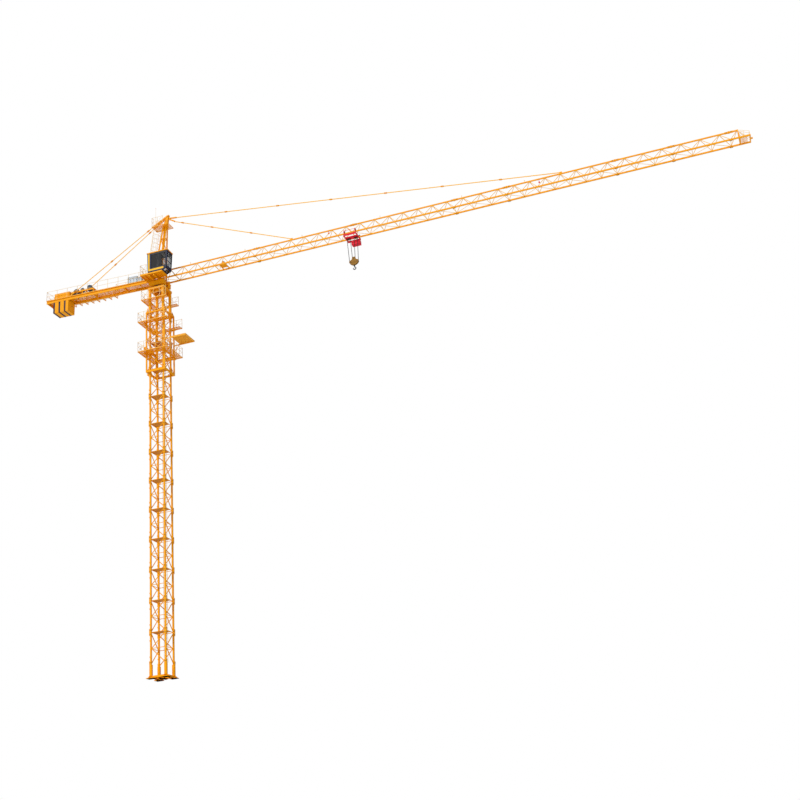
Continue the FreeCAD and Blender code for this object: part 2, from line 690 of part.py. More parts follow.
def rail_runs(corners, z, pitch=RAIL_PITCH):
    """A railing along each side of a row of corners. The panels stop short of each other."""
    panels = []
    for (ax, ay), (bx, by) in zip(corners, corners[1:]):
        length = math.hypot(bx - ax, by - ay)
        step_x, step_y = (bx - ax) / length * RAIL_BAR, (by - ay) / length * RAIL_BAR
        panels.append(railing((ax + step_x, ay + step_y), (bx - step_x, by - step_y), z, pitch))
    return panels


def ring_railings(half, z, front):
    """Railings on three sides of a platform, and on the jib side too where front is set."""
    edge = half - RAIL_BAR
    corners = [(edge, -edge), (-edge, -edge), (-edge, edge), (edge, edge)]
    return rail_runs(corners + corners[:1] if front else corners, z)


def platform_rails():
    return (ring_railings(SUPPORT_PLATFORM_HALF, SUPPORT_PLATFORM_Z + DECK_THICKNESS, False)
            + ring_railings(PLATFORM_HALF, UPPER_PLATFORM_Z + DECK_THICKNESS, False)
            + ring_railings(PLATFORM_HALF, LOWER_PLATFORM_Z + DECK_THICKNESS, True))


def ring_beams(z0, z1, inner):
    """A square ring of beams as deep as the cage's posts."""
    return block(-CAGE_HALF, CAGE_HALF, -CAGE_HALF, CAGE_HALF, z0, z1).cut(
        block(-inner, inner, -inner, inner, z0, z1))


def cage_frame():
    """Four corner posts, ring beams, and shoulders that lean in to the legs of the seat."""
    pieces = []
    for sx in (-1, 1):
        for sy in (-1, 1):
            x0, x1 = sorted((sx * CAGE_INNER, sx * CAGE_HALF))
            y0, y1 = sorted((sy * CAGE_INNER, sy * CAGE_HALF))
            pieces.append(block(x0, x1, y0, y1, CAGE_BOTTOM, CAGE_TOP))
            for y in (MAST_HALF - SHOULDER_INSET, CAGE_INNER):
                profile = [V(sx * CAGE_HALF, sy * y, CAGE_TOP), V(sx * LEG_OUTER, sy * y, CAGE_TOP),
                           V(sx * LEG_OUTER, sy * y, CAGE_TOP + SHOULDER_RISE)]
                pieces.append(sheet(profile, V(0, sy * SHOULDER_RIB, 0)))
    waist = LOWER_PLATFORM_Z - CAGE_RING_BEAM / 2
    pieces.append(ring_beams(CAGE_TOP - CAGE_RING_BEAM, CAGE_TOP, LEG_OUTER))
    pieces.append(ring_beams(waist, waist + CAGE_RING_BEAM, CAGE_INNER))
    pieces.append(ring_beams(CAGE_BOTTOM, CAGE_BOTTOM + CAGE_FOOT_BEAM, CAGE_INNER))
    return fuse(pieces)


def cage_bracing_side(turn):
    """A flat side of the cage. The jib side is open above the loading platform."""
    waist, half_ring = LOWER_PLATFORM_Z, CAGE_RING_BEAM / 2
    pieces = []
    for v0, v1, bays in ((CAGE_BOTTOM + CAGE_FOOT_BEAM, waist - half_ring, 1),
                         (waist + half_ring, CAGE_TOP - CAGE_RING_BEAM, 3)):
        if turn == 1 and v1 > waist:
            continue
        levels = [v0 + (v1 - v0) * i / bays for i in range(bays + 1)]
        cells = zigzag_cells(-CAGE_INNER, CAGE_INNER, levels)
        y = -(CAGE_INNER + CAGE_HALF) / 2 - CAGE_BRACE / 2
        pieces.append(turned(panel((-CAGE_INNER, CAGE_INNER, v0, v1), cells, CAGE_BRACE,
                                   lambda a, b: V(a, y, b), V(0, CAGE_BRACE, 0)), turn))
    return pieces


def cage_bracing():
    return [side for turn in range(4) for side in cage_bracing_side(turn)]


def loading_platform():
    """A slatted shelf on two rails with props, where new mast sections come in."""
    half, rail = LOADING_HALF_WIDTH, LOADING_RAIL / 2
    start = CAGE_HALF + LOADING_START
    pieces = [grating(start, LOADING_REACH, -half, half, LOADING_Z, LOADING_SLAT_PITCH, LOADING_GAP_SHARE)]
    for sy in (-1, 1):
        y0, y1 = sy * half - rail, sy * half + rail
        pieces.append(block(CAGE_HALF, LOADING_REACH, y0, y1, LOADING_Z - LOADING_RAIL_DEPTH, LOADING_Z))
        pieces.append(block(CAGE_HALF, CAGE_HALF + 16, y0, y1, LOADING_Z - PROP_DROP, LOADING_Z))
        pieces.append(bar(V(CAGE_HALF + 10, sy * half, LOADING_Z - PROP_DROP + 40),
                          V(PLATFORM_HALF - 60, sy * half, LOADING_Z - 45), PROP_SIZE, PROP_SIZE))
    return fuse(pieces)


def jack():
    """The beam on the cage's back, with the cylinder that hangs from it and its shoe."""
    back = -CAGE_HALF
    beam = block(back - JACK_BEAM, back, -CAGE_HALF, CAGE_HALF, JACK_BEAM_Z, JACK_BEAM_Z + JACK_BEAM)
    x = back - JACK_RADIUS - JACK_SET_OFF
    foot = CAGE_BOTTOM + 20
    stem_foot = foot + JACK_FOOT
    stem = rod(V(x, 0, stem_foot), V(x, 0, stem_foot + JACK_STROKE), JACK_RADIUS * 0.6)
    barrel = rod(V(x, 0, stem_foot + JACK_STROKE), V(x, 0, JACK_BEAM_Z), JACK_RADIUS)
    shoe = block(x - JACK_BEAM / 2, back, -160, 160, foot, stem_foot)
    return fuse([beam, barrel, stem, shoe])


# ---- slewing part ----

def upper_support():
    x, y = UPPER_SUPPORT_LENGTH / 2, UPPER_SUPPORT_WIDTH / 2
    body = block(-x, x, -y, y, UPPER_SUPPORT_Z, HEAD_BASE_Z)
    return body.cut(access_well(UPPER_SUPPORT_Z, HEAD_BASE_Z))


def slewing_motors():
    """Two upright motors on shelves at the ends of the upper support."""
    motors = []
    shelf_z = UPPER_SUPPORT_Z + MOTOR_SHELF_LIFT
    for sx in (-1, 1):
        end = sx * UPPER_SUPPORT_LENGTH / 2
        x = end + sx * MOTOR_OFFSET
        near, far = sorted((end, x + sx * (MOTOR_SHELF_HALF - 10)))
        shelf = block(near, far, -MOTOR_SHELF_HALF, MOTOR_SHELF_HALF, shelf_z, shelf_z + MOTOR_SHELF_PLATE)
        gear = rod(V(x, 0, UPPER_SUPPORT_Z - GEAR_DROP), V(x, 0, shelf_z), GEAR_RADIUS)
        motor = rod(V(x, 0, shelf_z + MOTOR_SHELF_PLATE), V(x, 0, HEAD_BASE_Z - 50), MOTOR_RADIUS)
        motors.append(fuse([shelf, gear, motor]))
    return motors


def leg_point(front, side, z):
    """The centre of a tower head leg at a height. Front and side are 1 or -1."""
    foot = V(front * HEAD_FOOT_X, side * JIB_HALF_WIDTH, HEAD_FOOT_Z)
    neck_x = HEAD_NECK_FRONT_X if front > 0 else HEAD_NECK_REAR_X
    neck = V(neck_x, side * HEAD_NECK_HALF_WIDTH, HEAD_NECK_Z)
    return foot + (neck - foot) * ((z - HEAD_FOOT_Z) / (HEAD_NECK_Z - HEAD_FOOT_Z))


def tower_head():
    half = HEAD_BEAM_WIDTH / 2
    pieces = []
    for sy in (-1, 1):
        y = sy * JIB_HALF_WIDTH
        pieces.append(block(COUNTER_START, JIB_START, y - half, y + half, HEAD_BASE_Z, HEAD_FOOT_Z))
    for x in (-HEAD_FOOT_X, HEAD_FOOT_X - half):
        pieces.append(block(x - half, x + half, -JIB_HALF_WIDTH, JIB_HALF_WIDTH, HEAD_BASE_Z, HEAD_FOOT_Z))
    for front in (-1, 1):
        for side in (-1, 1):
            foot = leg_point(front, side, HEAD_FOOT_Z - HEAD_BEAM_HEIGHT / 2)
            pieces.append(bar(foot, leg_point(front, side, HEAD_NECK_Z + HEAD_LEG), HEAD_LEG, HEAD_LEG))
    levels = [HEAD_FOOT_Z + (HEAD_NECK_Z - HEAD_FOOT_Z) * share for share in HEAD_RING_SHARES]
    for z in levels:
        ring = [leg_point(front, side, z) for front, side in ((-1, -1), (1, -1), (1, 1), (-1, 1))]
        pieces += [bar(ring[i - 1], ring[i], HEAD_RING_BAR, HEAD_RING_BAR) for i in range(4)]
    for z0, z1 in zip([HEAD_FOOT_Z] + levels, levels):
        for side in (-1, 1):
            pieces.append(bar(leg_point(1, side, z0), leg_point(-1, side, z1), HEAD_DIAGONAL, HEAD_DIAGONAL))
    above = block(-HEAD_TOP_X, 2 * HEAD_TOP_X, -HEAD_TOP_X, HEAD_TOP_X, HEAD_NECK_Z, HEAD_TOP_Z)
    return fuse(pieces).cut(above)


def head_peak():
    """The plated top of the tower head, with ears for the ties and the pendants."""
    half = HEAD_NECK_HALF_WIDTH + HEAD_LEG / 2
    x0, x1 = HEAD_NECK_REAR_X - HEAD_LEG / 2, HEAD_NECK_FRONT_X + HEAD_LEG / 2
    outline = [(x0, HEAD_NECK_Z), (x1, HEAD_NECK_Z), (HEAD_TOP_X + 60, HEAD_TOP_Z - 220),
               (HEAD_TOP_X + 50, HEAD_TOP_Z - 20), (HEAD_TOP_X - 60, HEAD_TOP_Z), (x0 - 50, HEAD_TOP_Z - 260)]
    pieces = [sheet([V(x, -half, z) for x, z in outline], V(0, 2 * half, 0))]
    ear_y = PENDANT_BAR / 2 + SEAT_GAP + EAR / 2
    tie_ear = TIE_BAR / 2 + TIE_SIDE_GAP + EAR / 2
    for sy in (-1, 1):
        for ends in (front_pendant_ends(), far_pendant_ends()):
            root, eye = V(HEAD_TOP_X + 20, sy * ear_y, HEAD_TOP_Z - 200), ends[0]
            pieces.append(bar(root, V(eye.x + 40, sy * ear_y, eye.z), EAR, EAR_DEPTH))
        top = tie_ends(sy)[0]
        for y in (top.y - tie_ear, top.y + tie_ear):
            pieces.append(bar(V(x0 + 60, y, HEAD_TOP_Z - 330), V(top.x - TIE_LAP, y, top.z), EAR, EAR_DEPTH))
    return fuse(pieces)


def head_platform():
    """The deck round the tower head's neck, with a slot for the peak."""
    half = HEAD_NECK_HALF_WIDTH + HEAD_LEG / 2 + SEAT_GAP
    x0, x1 = HEAD_NECK_REAR_X - HEAD_LEG / 2 - 10, HEAD_NECK_FRONT_X + HEAD_LEG / 2 + 20
    return grating(HEAD_PLATFORM_REAR, HEAD_PLATFORM_FRONT, -HEAD_PLATFORM_HALF, HEAD_PLATFORM_HALF,
                   HEAD_PLATFORM_Z, SLAT_PITCH, cutouts=[(x0, x1, -half, half)])


def head_rails():
    """Railings on the head's deck, open at the back where the ties pass, and the aerial on one of them."""
    z = HEAD_PLATFORM_Z + DECK_THICKNESS
    edge, rear = HEAD_PLATFORM_HALF - 10, HEAD_PLATFORM_REAR + 10
    near = rail_runs([(HEAD_RAIL_FRONT, -edge), (rear, -edge), (rear, -HEAD_RAIL_OPENING)], z)
    far = rail_runs([(rear, HEAD_RAIL_OPENING), (rear, edge), (HEAD_RAIL_FRONT, edge)], z)
    aerial = rod(V(AERIAL_X, -edge, z), V(AERIAL_X, -edge, HEAD_TOP_Z + AERIAL_RISE), AERIAL_RADIUS)
    return [fuse([near[0], aerial]), near[1]] + far


def head_ladder():
    """A ladder behind the rear legs, held by arms at two of the leg rings."""
    pieces = []
    half = HEAD_LADDER_HALF
    low, high = leg_point(-1, 0, DECK_Z + 40), leg_point(-1, 0, HEAD_PLATFORM_Z)
    run = high - low
    offset = V(-HEAD_LADDER_BACK, 0, 0)
    for y in (-half, half):
        shift = offset + V(0, y, 0)
        pieces.append(bar(low + shift, high + shift, 14, 24))
    for t in stations(0, 1, RUNG_PITCH / run.Length)[1:-1]:
        p = low + run * t + offset
        pieces.append(rod(p + V(0, -half, 0), p + V(0, half, 0), 7))
    for share in HEAD_RING_SHARES[:2]:
        z = HEAD_FOOT_Z + (HEAD_NECK_Z - HEAD_FOOT_Z) * share
        x = leg_point(-1, 0, z).x
        x0, x1 = x - HEAD_LADDER_BACK, x - HEAD_RING_BAR / 2
        pieces += [block(x0, x1, y - 7, y + 7, z - 7, z + 7) for y in (-half, half)]
    return fuse(pieces)


# ---- jib ----

def panel_points():
    """Places of the lower panel points along the jib, and of the section joints."""
    points, joints = [JIB_START], [JIB_START]
    for kind in SECTION_PATTERN:
        length, count = (LONG_SECTION, LONG_PANELS) if kind == "L" else (SHORT_SECTION, SHORT_PANELS)
        start = joints[-1]
        points += [start + length * (i + 1) / count for i in range(count)]
        joints.append(start + length)
    return points, joints


def jib_end():
    return panel_points()[1][-1] + TIP_LENGTH


def jib_top_chord():
    """The top chord, with a pair of ears for each pendant."""
    points, _ = panel_points()
    half = TOP_CHORD / 2
    start = (points[0] + points[1]) / 2 - half
    top = TOP_CHORD_Z + half
    pieces = [block(start, jib_end(), -half, half, TOP_CHORD_Z - half, top)]
    ear_y = PENDANT_BAR / 2 + SEAT_GAP
    for x in (FRONT_PENDANT_X, FAR_PENDANT_X):
        for y0 in (-ear_y - EAR, ear_y):
            pieces.append(block(x - 60, x + 60, y0, y0 + EAR, top, top + EAR_HEIGHT))
    return fuse(pieces)


def jib_lower_chord(side):
    half = LOWER_CHORD / 2
    y = side * JIB_HALF_WIDTH
    return block(JIB_START, jib_end() + NOSE_LENGTH, y - half, y + half, JIB_Z - half, JIB_Z + half)


def jib_side_bracing(side):
    """Warren bracing in the sloping plane from a lower chord up to the top chord."""
    points, _ = panel_points()
    tops = [(a + b) / 2 for a, b in zip(points, points[1:])]
    end = jib_end()
    cells = [[(a, 0), (b, 0), (t, JIB_HEIGHT)] for a, b, t in zip(points, points[1:], tops)]
    cells += [[(t, JIB_HEIGHT), (s, JIB_HEIGHT), (p, 0)] for t, s, p in zip(tops, tops[1:], points[1:])]
    last = points[-1]
    cells.append([(tops[-1], JIB_HEIGHT), (end, JIB_HEIGHT), (last, 0)])
    cells.append([(last, 0), (end, 0), (end, JIB_HEIGHT)])
    low, high = LOWER_CHORD / 2, JIB_HEIGHT - TOP_CHORD / 2
    slope = JIB_HALF_WIDTH / JIB_HEIGHT

    def place(u, v):
        return V(u, -JIB_HALF_WIDTH + v * slope - JIB_BRACE / 2, JIB_Z + v)

    whole = panel((JIB_START, end, low, high), cells, JIB_BRACE, place, V(0, JIB_BRACE, 0))
    # the panel's corner above the first diagonal is cut away
    diagonal_x = tops[0] - JIB_BRACE / 2 / math.sin(math.atan2(JIB_HEIGHT, tops[0] - JIB_START))
    outside, corner_z = -JIB_HALF_WIDTH * 2, JIB_Z + low + PANEL_BORDER
    corner = [V(JIB_START - 1, outside, corner_z), V(diagonal_x, outside, TOP_CHORD_Z),
              V(JIB_START - 1, outside, TOP_CHORD_Z)]
    shape = whole.cut(sheet(corner, V(0, JIB_HALF_WIDTH * 4, 0)))
    return shape if side < 0 else mirrored(shape)


def diagonal_cells(xs, inner):
    """Each bay between two places along X has one diagonal, and the diagonals take turns."""
    cells = []
    side = 1
    for a, b in zip(xs, xs[1:]):
        cells += [[(a, -inner * side), (b, -inner * side), (b, inner * side)],
                  [(a, -inner * side), (b, inner * side), (a, inner * side)]]
        side = -side
    return cells


def jib_bottom_bracing():
    points, _ = panel_points()
    last, end = points[-1], jib_end()
    cells = diagonal_cells(points, CHORD_INNER)
    cells.append([(last, -CHORD_INNER), (end, -CHORD_INNER), (end, CHORD_INNER), (last, CHORD_INNER)])
    return panel((JIB_START, end, -CHORD_INNER, CHORD_INNER), cells, JIB_BRACE,
                 lambda u, v: V(u, v, JIB_Z - JIB_BRACE / 2), V(0, 0, JIB_BRACE))


def jib_tip():
    """The end frame below the top chord, and the nose: a deck, the end plate and the rope wheel."""
    x0, nose = jib_end(), jib_end() + NOSE_LENGTH
    x1 = x0 + TIP_PLATE
    half = LOWER_CHORD / 2
    low, high = JIB_Z - half, JIB_Z + half
    middle = (x0 + x1) / 2
    legs = [bar(V(middle, sy * JIB_HALF_WIDTH, JIB_Z), V(middle, 0, TOP_CHORD_Z), TIP_LEG, TIP_LEG)
            for sy in (-1, 1)]
    head = block(x0, x1, -TIP_PLATE, TIP_PLATE, TOP_CHORD_Z - TIP_PLATE, TOP_CHORD_Z + TOP_CHORD / 2)
    frame = fuse([head] + legs).cut(block(x0 - 1, x1 + 1, -CHORD_OUTER, CHORD_OUTER, low, high))
    foot = block(x0, x1, -CHORD_INNER, CHORD_INNER, low, high)
    end = block(nose - TIP_PLATE, nose, -CHORD_INNER, CHORD_INNER, low, high)
    arm = block(nose, nose + TIP_ARM, -TIP_PLATE / 2, TIP_PLATE / 2, low, high)
    wheel = rod(V(nose + TIP_ARM, -half, JIB_Z), V(nose + TIP_ARM, half, JIB_Z), TIP_WHEEL)
    deck_x0, deck_x1 = x0 + NOSE_DECK[0], x0 + NOSE_DECK[1]
    deck = grating(deck_x0, deck_x1, -CHORD_INNER, CHORD_INNER, JIB_Z - DECK_THICKNESS / 2, NOSE_SLAT_PITCH)
    return [frame, fuse([foot, deck]), fuse([end, arm, wheel])]


def trolley_winch():
    """The seat of the trolley winch, across the lower chords inside the jib, with its two cheeks."""
    x, z = TROLLEY_WINCH_X, WINCH_BEAM_Z
    half_beam = WINCH_BEAM_WIDTH / 2
    half_x, half_y = WINCH_SEAT_HALF
    seat_z = z + WINCH_BEAM_HEIGHT
    cheek_z = seat_z + WINCH_SEAT_PLATE
    pieces = [block(x - half_x, x + half_x, -half_y, half_y, seat_z, cheek_z)]
    for dx in (-WINCH_BEAM_OFFSET, WINCH_BEAM_OFFSET):
        pieces.append(block(x + dx - half_beam, x + dx + half_beam, -CHORD_INNER, CHORD_INNER, z, seat_z))
    for sy in (-1, 1):
        y = sy * WINCH_CHEEK
        outline = [V(x - 130, y, cheek_z), V(x + 130, y, cheek_z), V(x + 20, y, z + WINCH_CHEEK_TOP),
                   V(x - 20, y, z + WINCH_CHEEK_TOP)]
        pieces.append(sheet(outline, V(0, sy * WINCH_CHEEK_PLATE, 0)))
    bore_ends = V(x, -CHORD_INNER, TROLLEY_DRUM_Z), V(x, CHORD_INNER, TROLLEY_DRUM_Z)
    return fuse(pieces).cut(rod(*bore_ends, TROLLEY_SHAFT + SHAFT_GAP))


def spool(x, z, half, radius, flange_radius, shaft_half, shaft_radius):
    """A drum along Y with two flanges, on its shaft."""
    pieces = [rod(V(x, -half, z), V(x, half, z), radius)]
    pieces.append(rod(V(x, -shaft_half, z), V(x, shaft_half, z), shaft_radius))
    for y in (-half - FLANGE_PLATE, half):
        pieces.append(rod(V(x, y, z), V(x, y + FLANGE_PLATE, z), flange_radius))
    return fuse(pieces)


def trolley_drum():
    return spool(TROLLEY_WINCH_X, TROLLEY_DRUM_Z, TROLLEY_DRUM_HALF, TROLLEY_DRUM, TROLLEY_FLANGE,
                 WINCH_CHEEK + WINCH_CHEEK_PLATE + 2, TROLLEY_SHAFT)


# ---- pendants and ties ----

def front_pendant_ends():
    return V(HEAD_TOP_X + 330, 0, HEAD_TOP_Z - 440), V(FRONT_PENDANT_X, 0, PENDANT_FOOT_Z)


def far_pendant_ends():
    return V(HEAD_TOP_X + 430, 0, HEAD_TOP_Z - 240), V(FAR_PENDANT_X, 0, PENDANT_FOOT_Z)


def tie_ends(side):
    top = V(TIE_TOP_X, side * TIE_TOP_Y, HEAD_TOP_Z - TIE_TOP_DROP)
    foot = Part.Vertex(TIE_X, side * JIB_HALF_WIDTH, DECK_TOP + TIE_FOOT_LIFT)
    return top, raked([foot])[0].Point


def link_bar(ends, width, coupler_count):
    """A flat tension bar with couplers spread along it."""
    start, end = ends
    depth = width * 1.4
    pieces = [bar(start, end, width, depth)]
    run = end - start
    step = run * (COUPLER_HALF / run.Length)
    for i in range(1, coupler_count + 1):
        middle = start + run * (i / (coupler_count + 1))
        pieces.append(bar(middle - step, middle + step, width + COUPLER_GROWTH, depth + COUPLER_GROWTH + 4))
    return fuse(pieces)


def jib_pendants():
    return [link_bar(front_pendant_ends(), PENDANT_BAR, 2), link_bar(far_pendant_ends(), PENDANT_BAR, 6)]


def counter_ties():
    return [link_bar(tie_ends(side), TIE_BAR, 1) for side in (-1, 1)]


# ---- counter-jib: modelled level, then tilted about the top of its root ----

def raked(shapes):
    tilted = [shape.copy() for shape in shapes]
    for shape in tilted:
        shape.rotate(V(COUNTER_START, 0, DECK_Z), V(0, 1, 0), COUNTER_RAKE)
    return tilted


def save_raked(name, shapes):
    save(name, raked(shapes))


def i_beam(x0, x1, y, z):
    """A rolled beam along X. Its bottom is at z."""
    half, web, flange = COUNTER_BEAM_WIDTH / 2, COUNTER_BEAM_WEB / 2, COUNTER_BEAM_FLANGE
    top = z + COUNTER_BEAM_DEPTH
    low, high = z + flange, top - flange
    right = [(half, z), (half, low), (web, low), (web, high), (half, high), (half, top)]
    outline = right + [(-a, b) for a, b in reversed(right)]
    return sheet([V(x0, y + a, b) for a, b in outline], V(x1 - x0, 0, 0))


def counter_beams():
    x1 = COUNTER_START + ROOT_LAP
    pieces = [i_beam(COUNTER_END, x1, sy * JIB_HALF_WIDTH, BEAM_Z) for sy in (-1, 1)]
    low, high = BEAM_Z + 20, BEAM_Z + COUNTER_BEAM_DEPTH - 20
    for x in (COUNTER_END, WEIGHT_START - CROSS_BEAM, TIE_X - CROSS_BEAM / 2, WINCH_X + WINCH_LENGTH / 2,
              CABINET_X - 260, COUNTER_START - CROSS_BEAM):
        pieces.append(block(x, x + CROSS_BEAM, -JIB_HALF_WIDTH, JIB_HALF_WIDTH, low, high))
    beyond = block(COUNTER_START, COUNTER_START + ROOT_LAP * 2, -BEAM_OUTER, BEAM_OUTER, BEAM_Z - ROOT_LAP,
                   DECK_TOP)
    return raked([fuse(pieces)])[0].cut(beyond)


def counter_bracing():
    """Crossed flats on the lower flanges, between the beams."""
    x0, x1 = TIE_X + CROSS_BEAM / 2, COUNTER_START - CROSS_BEAM
    inner = JIB_HALF_WIDTH - COUNTER_BEAM_WEB / 2
    cells = diagonal_cells(stations(x0, x1, 640.0), inner)
    return panel((x0, x1, -inner, inner), cells, COUNTER_BRACE,
                 lambda u, v: V(u, v, BEAM_Z + COUNTER_BEAM_FLANGE), V(0, 0, 8))


def counter_deck():
    """The walking deck on the beams, with a well for the counterweights and a narrow walk round it."""
    weights = WEIGHT_COUNT * (WEIGHT_THICKNESS + WEIGHT_GAP)
    well = (WEIGHT_START - 10, WEIGHT_START + weights + 5, -BEAM_INNER - 10, BEAM_INNER + 10)
    return grating(COUNTER_END, COUNTER_START - 100, -COUNTER_DECK_HALF, COUNTER_DECK_HALF, DECK_Z,
                   COUNTER_SLAT_PITCH, cutouts=[well])


def counter_walkway():
    """A side walk on outriggers along the far side."""
    y0, y1 = COUNTER_DECK_HALF, COUNTER_DECK_HALF + WALKWAY_WIDTH
    half = OUTRIGGER / 2
    pieces = [grating(WALKWAY_START, WALKWAY_END, y0, y1, DECK_Z, COUNTER_SLAT_PITCH)]
    for x in stations(WALKWAY_START + 60, WALKWAY_END - 60, OUTRIGGER_PITCH):
        pieces.append(block(x - half, x + half, BEAM_OUTER, y1, DECK_Z - 40, DECK_Z))
    return fuse(pieces)


def counter_rails():
    """Railings along the near side, across the end, and out round the side walk on the far side."""
    edge = COUNTER_DECK_HALF - RAIL_BAR
    walk_edge = edge + WALKWAY_WIDTH
    x0, x1 = COUNTER_END + RAIL_BAR, COUNTER_START - 160
    w0, w1 = WALKWAY_START + 10, WALKWAY_END - 10
    corners = [(x1, -edge), (x0, -edge), (x0, edge), (w0, edge), (w0, walk_edge), (w1, walk_edge), (w1, edge),
               (x1, edge)]
    return rail_runs(corners, DECK_TOP, COUNTER_RAIL_PITCH)


def counterweights():
    """Slabs that hang between the beams on ears."""
    slabs = []
    half, ear_end = BEAM_INNER - WEIGHT_SIDE_GAP, BEAM_INNER + WEIGHT_EAR
    for i in range(WEIGHT_COUNT):
        x0 = WEIGHT_START + i * (WEIGHT_THICKNESS + WEIGHT_GAP)
        x1 = x0 + WEIGHT_THICKNESS
        body = block(x0, x1, -half, half, WEIGHT_BOTTOM, WEIGHT_TOP)
        foot = block(x0, x1, -WEIGHT_HALF_WIDTH, WEIGHT_HALF_WIDTH, WEIGHT_BOTTOM, BEAM_Z - WEIGHT_BEAM_GAP)
        ears = block(x0 + WEIGHT_EAR_INSET, x1 - WEIGHT_EAR_INSET, -ear_end, ear_end, DECK_Z,
                     DECK_Z + WEIGHT_EAR_HEIGHT)
        slabs.append(fuse([body, foot, ears]))
    return slabs


def winch_frame():
    """The raised seat of the hoist winch: two long rails on posts, cross beams and bearing cheeks."""
    x0, x1 = WINCH_X - WINCH_LENGTH / 2, WINCH_X + WINCH_LENGTH / 2
    half, post = WINCH_HALF_WIDTH, WINCH_POST
    rail_z = WINCH_RAIL_Z - WINCH_RAIL_DEPTH
    cheek_inner, cheek_outer = DRUM_CHEEK
    pieces = []
    for x in (x0, WINCH_X - 160, WINCH_X + 120, x1 - post):
        pieces.append(block(x, x + post, -half, half, rail_z, WINCH_RAIL_Z))
    for sy in (-1, 1):
        y0, y1 = sorted((sy * (half - WINCH_RAIL_WIDTH), sy * half))
        pieces.append(block(x0, x1, y0, y1, rail_z, WINCH_RAIL_Z))
        for x in (x0, WINCH_X - post / 2, x1 - post):
            pieces.append(block(x, x + post, y0, y1, DECK_TOP, rail_z))
        y0, y1 = sorted((sy * cheek_inner, sy * cheek_outer))
        cheek_top = WINCH_RAIL_Z + 50
        cheek = [(DRUM_X - 110, rail_z), (DRUM_X + 110, rail_z), (DRUM_X + 40, cheek_top),
                 (DRUM_X - 40, cheek_top)]
        pieces.append(sheet([V(x, y0, z) for x, z in cheek], V(0, y1 - y0, 0)))
        pieces.append(block(x0, WINCH_X - 150, y0, y1, rail_z, rail_z + 30))
    bore = rod(V(DRUM_X, -half, WINCH_RAIL_Z), V(DRUM_X, half, WINCH_RAIL_Z), DRUM_SHAFT + SHAFT_GAP)
    return fuse(pieces).cut(bore)


def winch_motor():
    """The motor on its seat, and the gearbox beside the drum."""
    x = WINCH_X + WINCH_LENGTH / 2 - 300
    seat_top = WINCH_RAIL_Z + 32
    z = WINCH_RAIL_Z + WINCH_MOTOR_RADIUS + 12
    body = rod(V(x, -WINCH_MOTOR_HALF, z), V(x, WINCH_MOTOR_HALF, z), WINCH_MOTOR_RADIUS)
    seat = block(x - 150, x + 150, -190, 190, WINCH_RAIL_Z, seat_top)
    gearbox = block(WINCH_X - 170, WINCH_X - 30, -130, 60, WINCH_RAIL_Z, WINCH_RAIL_Z + GEARBOX_HEIGHT)
    return [fuse([body, seat]), gearbox]


def hoist_drum():
    return spool(DRUM_X, WINCH_RAIL_Z, DRUM_LENGTH / 2, DRUM_RADIUS, DRUM_FLANGE, DRUM_SHAFT_HALF, DRUM_SHAFT)


def cabinets():
    y = -COUNTER_DECK_HALF + CABINET_NEAR
    return [block(CABINET_X, CABINET_X + CABINET_LENGTH, y, -60, DECK_TOP, DECK_TOP + CABINET_HEIGHT),
            block(SMALL_CABINET_X, SMALL_CABINET_X + SMALL_CABINET_LENGTH, y, -100, DECK_TOP,
                  DECK_TOP + SMALL_CABINET_HEIGHT)]


# ---- cab ----

def cab_profile(inset_by):
    """The side outline of the cab, as (x, z) corners, moved in by a wall."""
    outline = [(CAB_REAR, CAB_FLOOR_Z), (CAB_FRONT - CAB_TOE_LENGTH, CAB_FLOOR_Z),
               (CAB_FRONT - CAB_TOE_BACK, CAB_FLOOR_Z + CAB_TOE_RISE), (CAB_FRONT, CAB_ROOF_Z),
               (CAB_REAR - 15, CAB_ROOF_Z)]
    return inset(outline, inset_by) if inset_by else outline


def cab_prism(profile, y0, y1):
    return sheet([V(x, y0, z) for x, z in profile], V(0, y1 - y0, 0))


def side_window(y0, y1):
    return block(CAB_REAR + 190, CAB_FRONT - 95, y0, y1, CAB_FLOOR_Z + CAB_SILL, CAB_ROOF_Z - CAB_LINTEL)


def front_slot(grow):
    """The space of the front window, across the cab. Grow pushes it out past both faces of the wall."""
    wall = cab_profile(0)
    (ax, az), (bx, bz) = wall[2], wall[3]
    lean = (bx - ax) / (bz - az)
    z0, z1 = CAB_FLOOR_Z + CAB_SILL, CAB_ROOF_Z - CAB_LINTEL
    x_low, x_high = ax + (z0 - az) * lean, ax + (z1 - az) * lean
    inwards = CAB_WALL + grow
    corners = [(x_low - inwards, z0), (x_low + grow, z0), (x_high + grow, z1), (x_high - inwards, z1)]
    return cab_prism(corners, CAB_NEAR + CAB_PILLAR, CAB_FAR - CAB_PILLAR)


def foot_slot(grow):
    """The space of the sloping foot window."""
    wall = cab_profile(0)
    (ax, az), (bx, bz) = wall[1], wall[2]
    length = math.hypot(bx - ax, bz - az)
    ux, uz = (bx - ax) / length, (bz - az) / length
    nx, nz = -uz, ux
    a, b = CAB_PILLAR, length - 40.0
    corners = [(ax + ux * t + nx * s, az + uz * t + nz * s)
               for t, s in ((a, -grow), (b, -grow), (b, CAB_WALL + grow), (a, CAB_WALL + grow))]
    return cab_prism(corners, CAB_NEAR + CAB_PILLAR, CAB_FAR - CAB_PILLAR)


def door_space(x0, x1):
    y0 = (CAB_NEAR + CAB_FAR) / 2 - DOOR_WIDTH / 2
    z0 = CAB_FLOOR_Z + DOOR_SILL
    return block(x0, x1, y0, y0 + DOOR_WIDTH, z0, z0 + DOOR_HEIGHT)


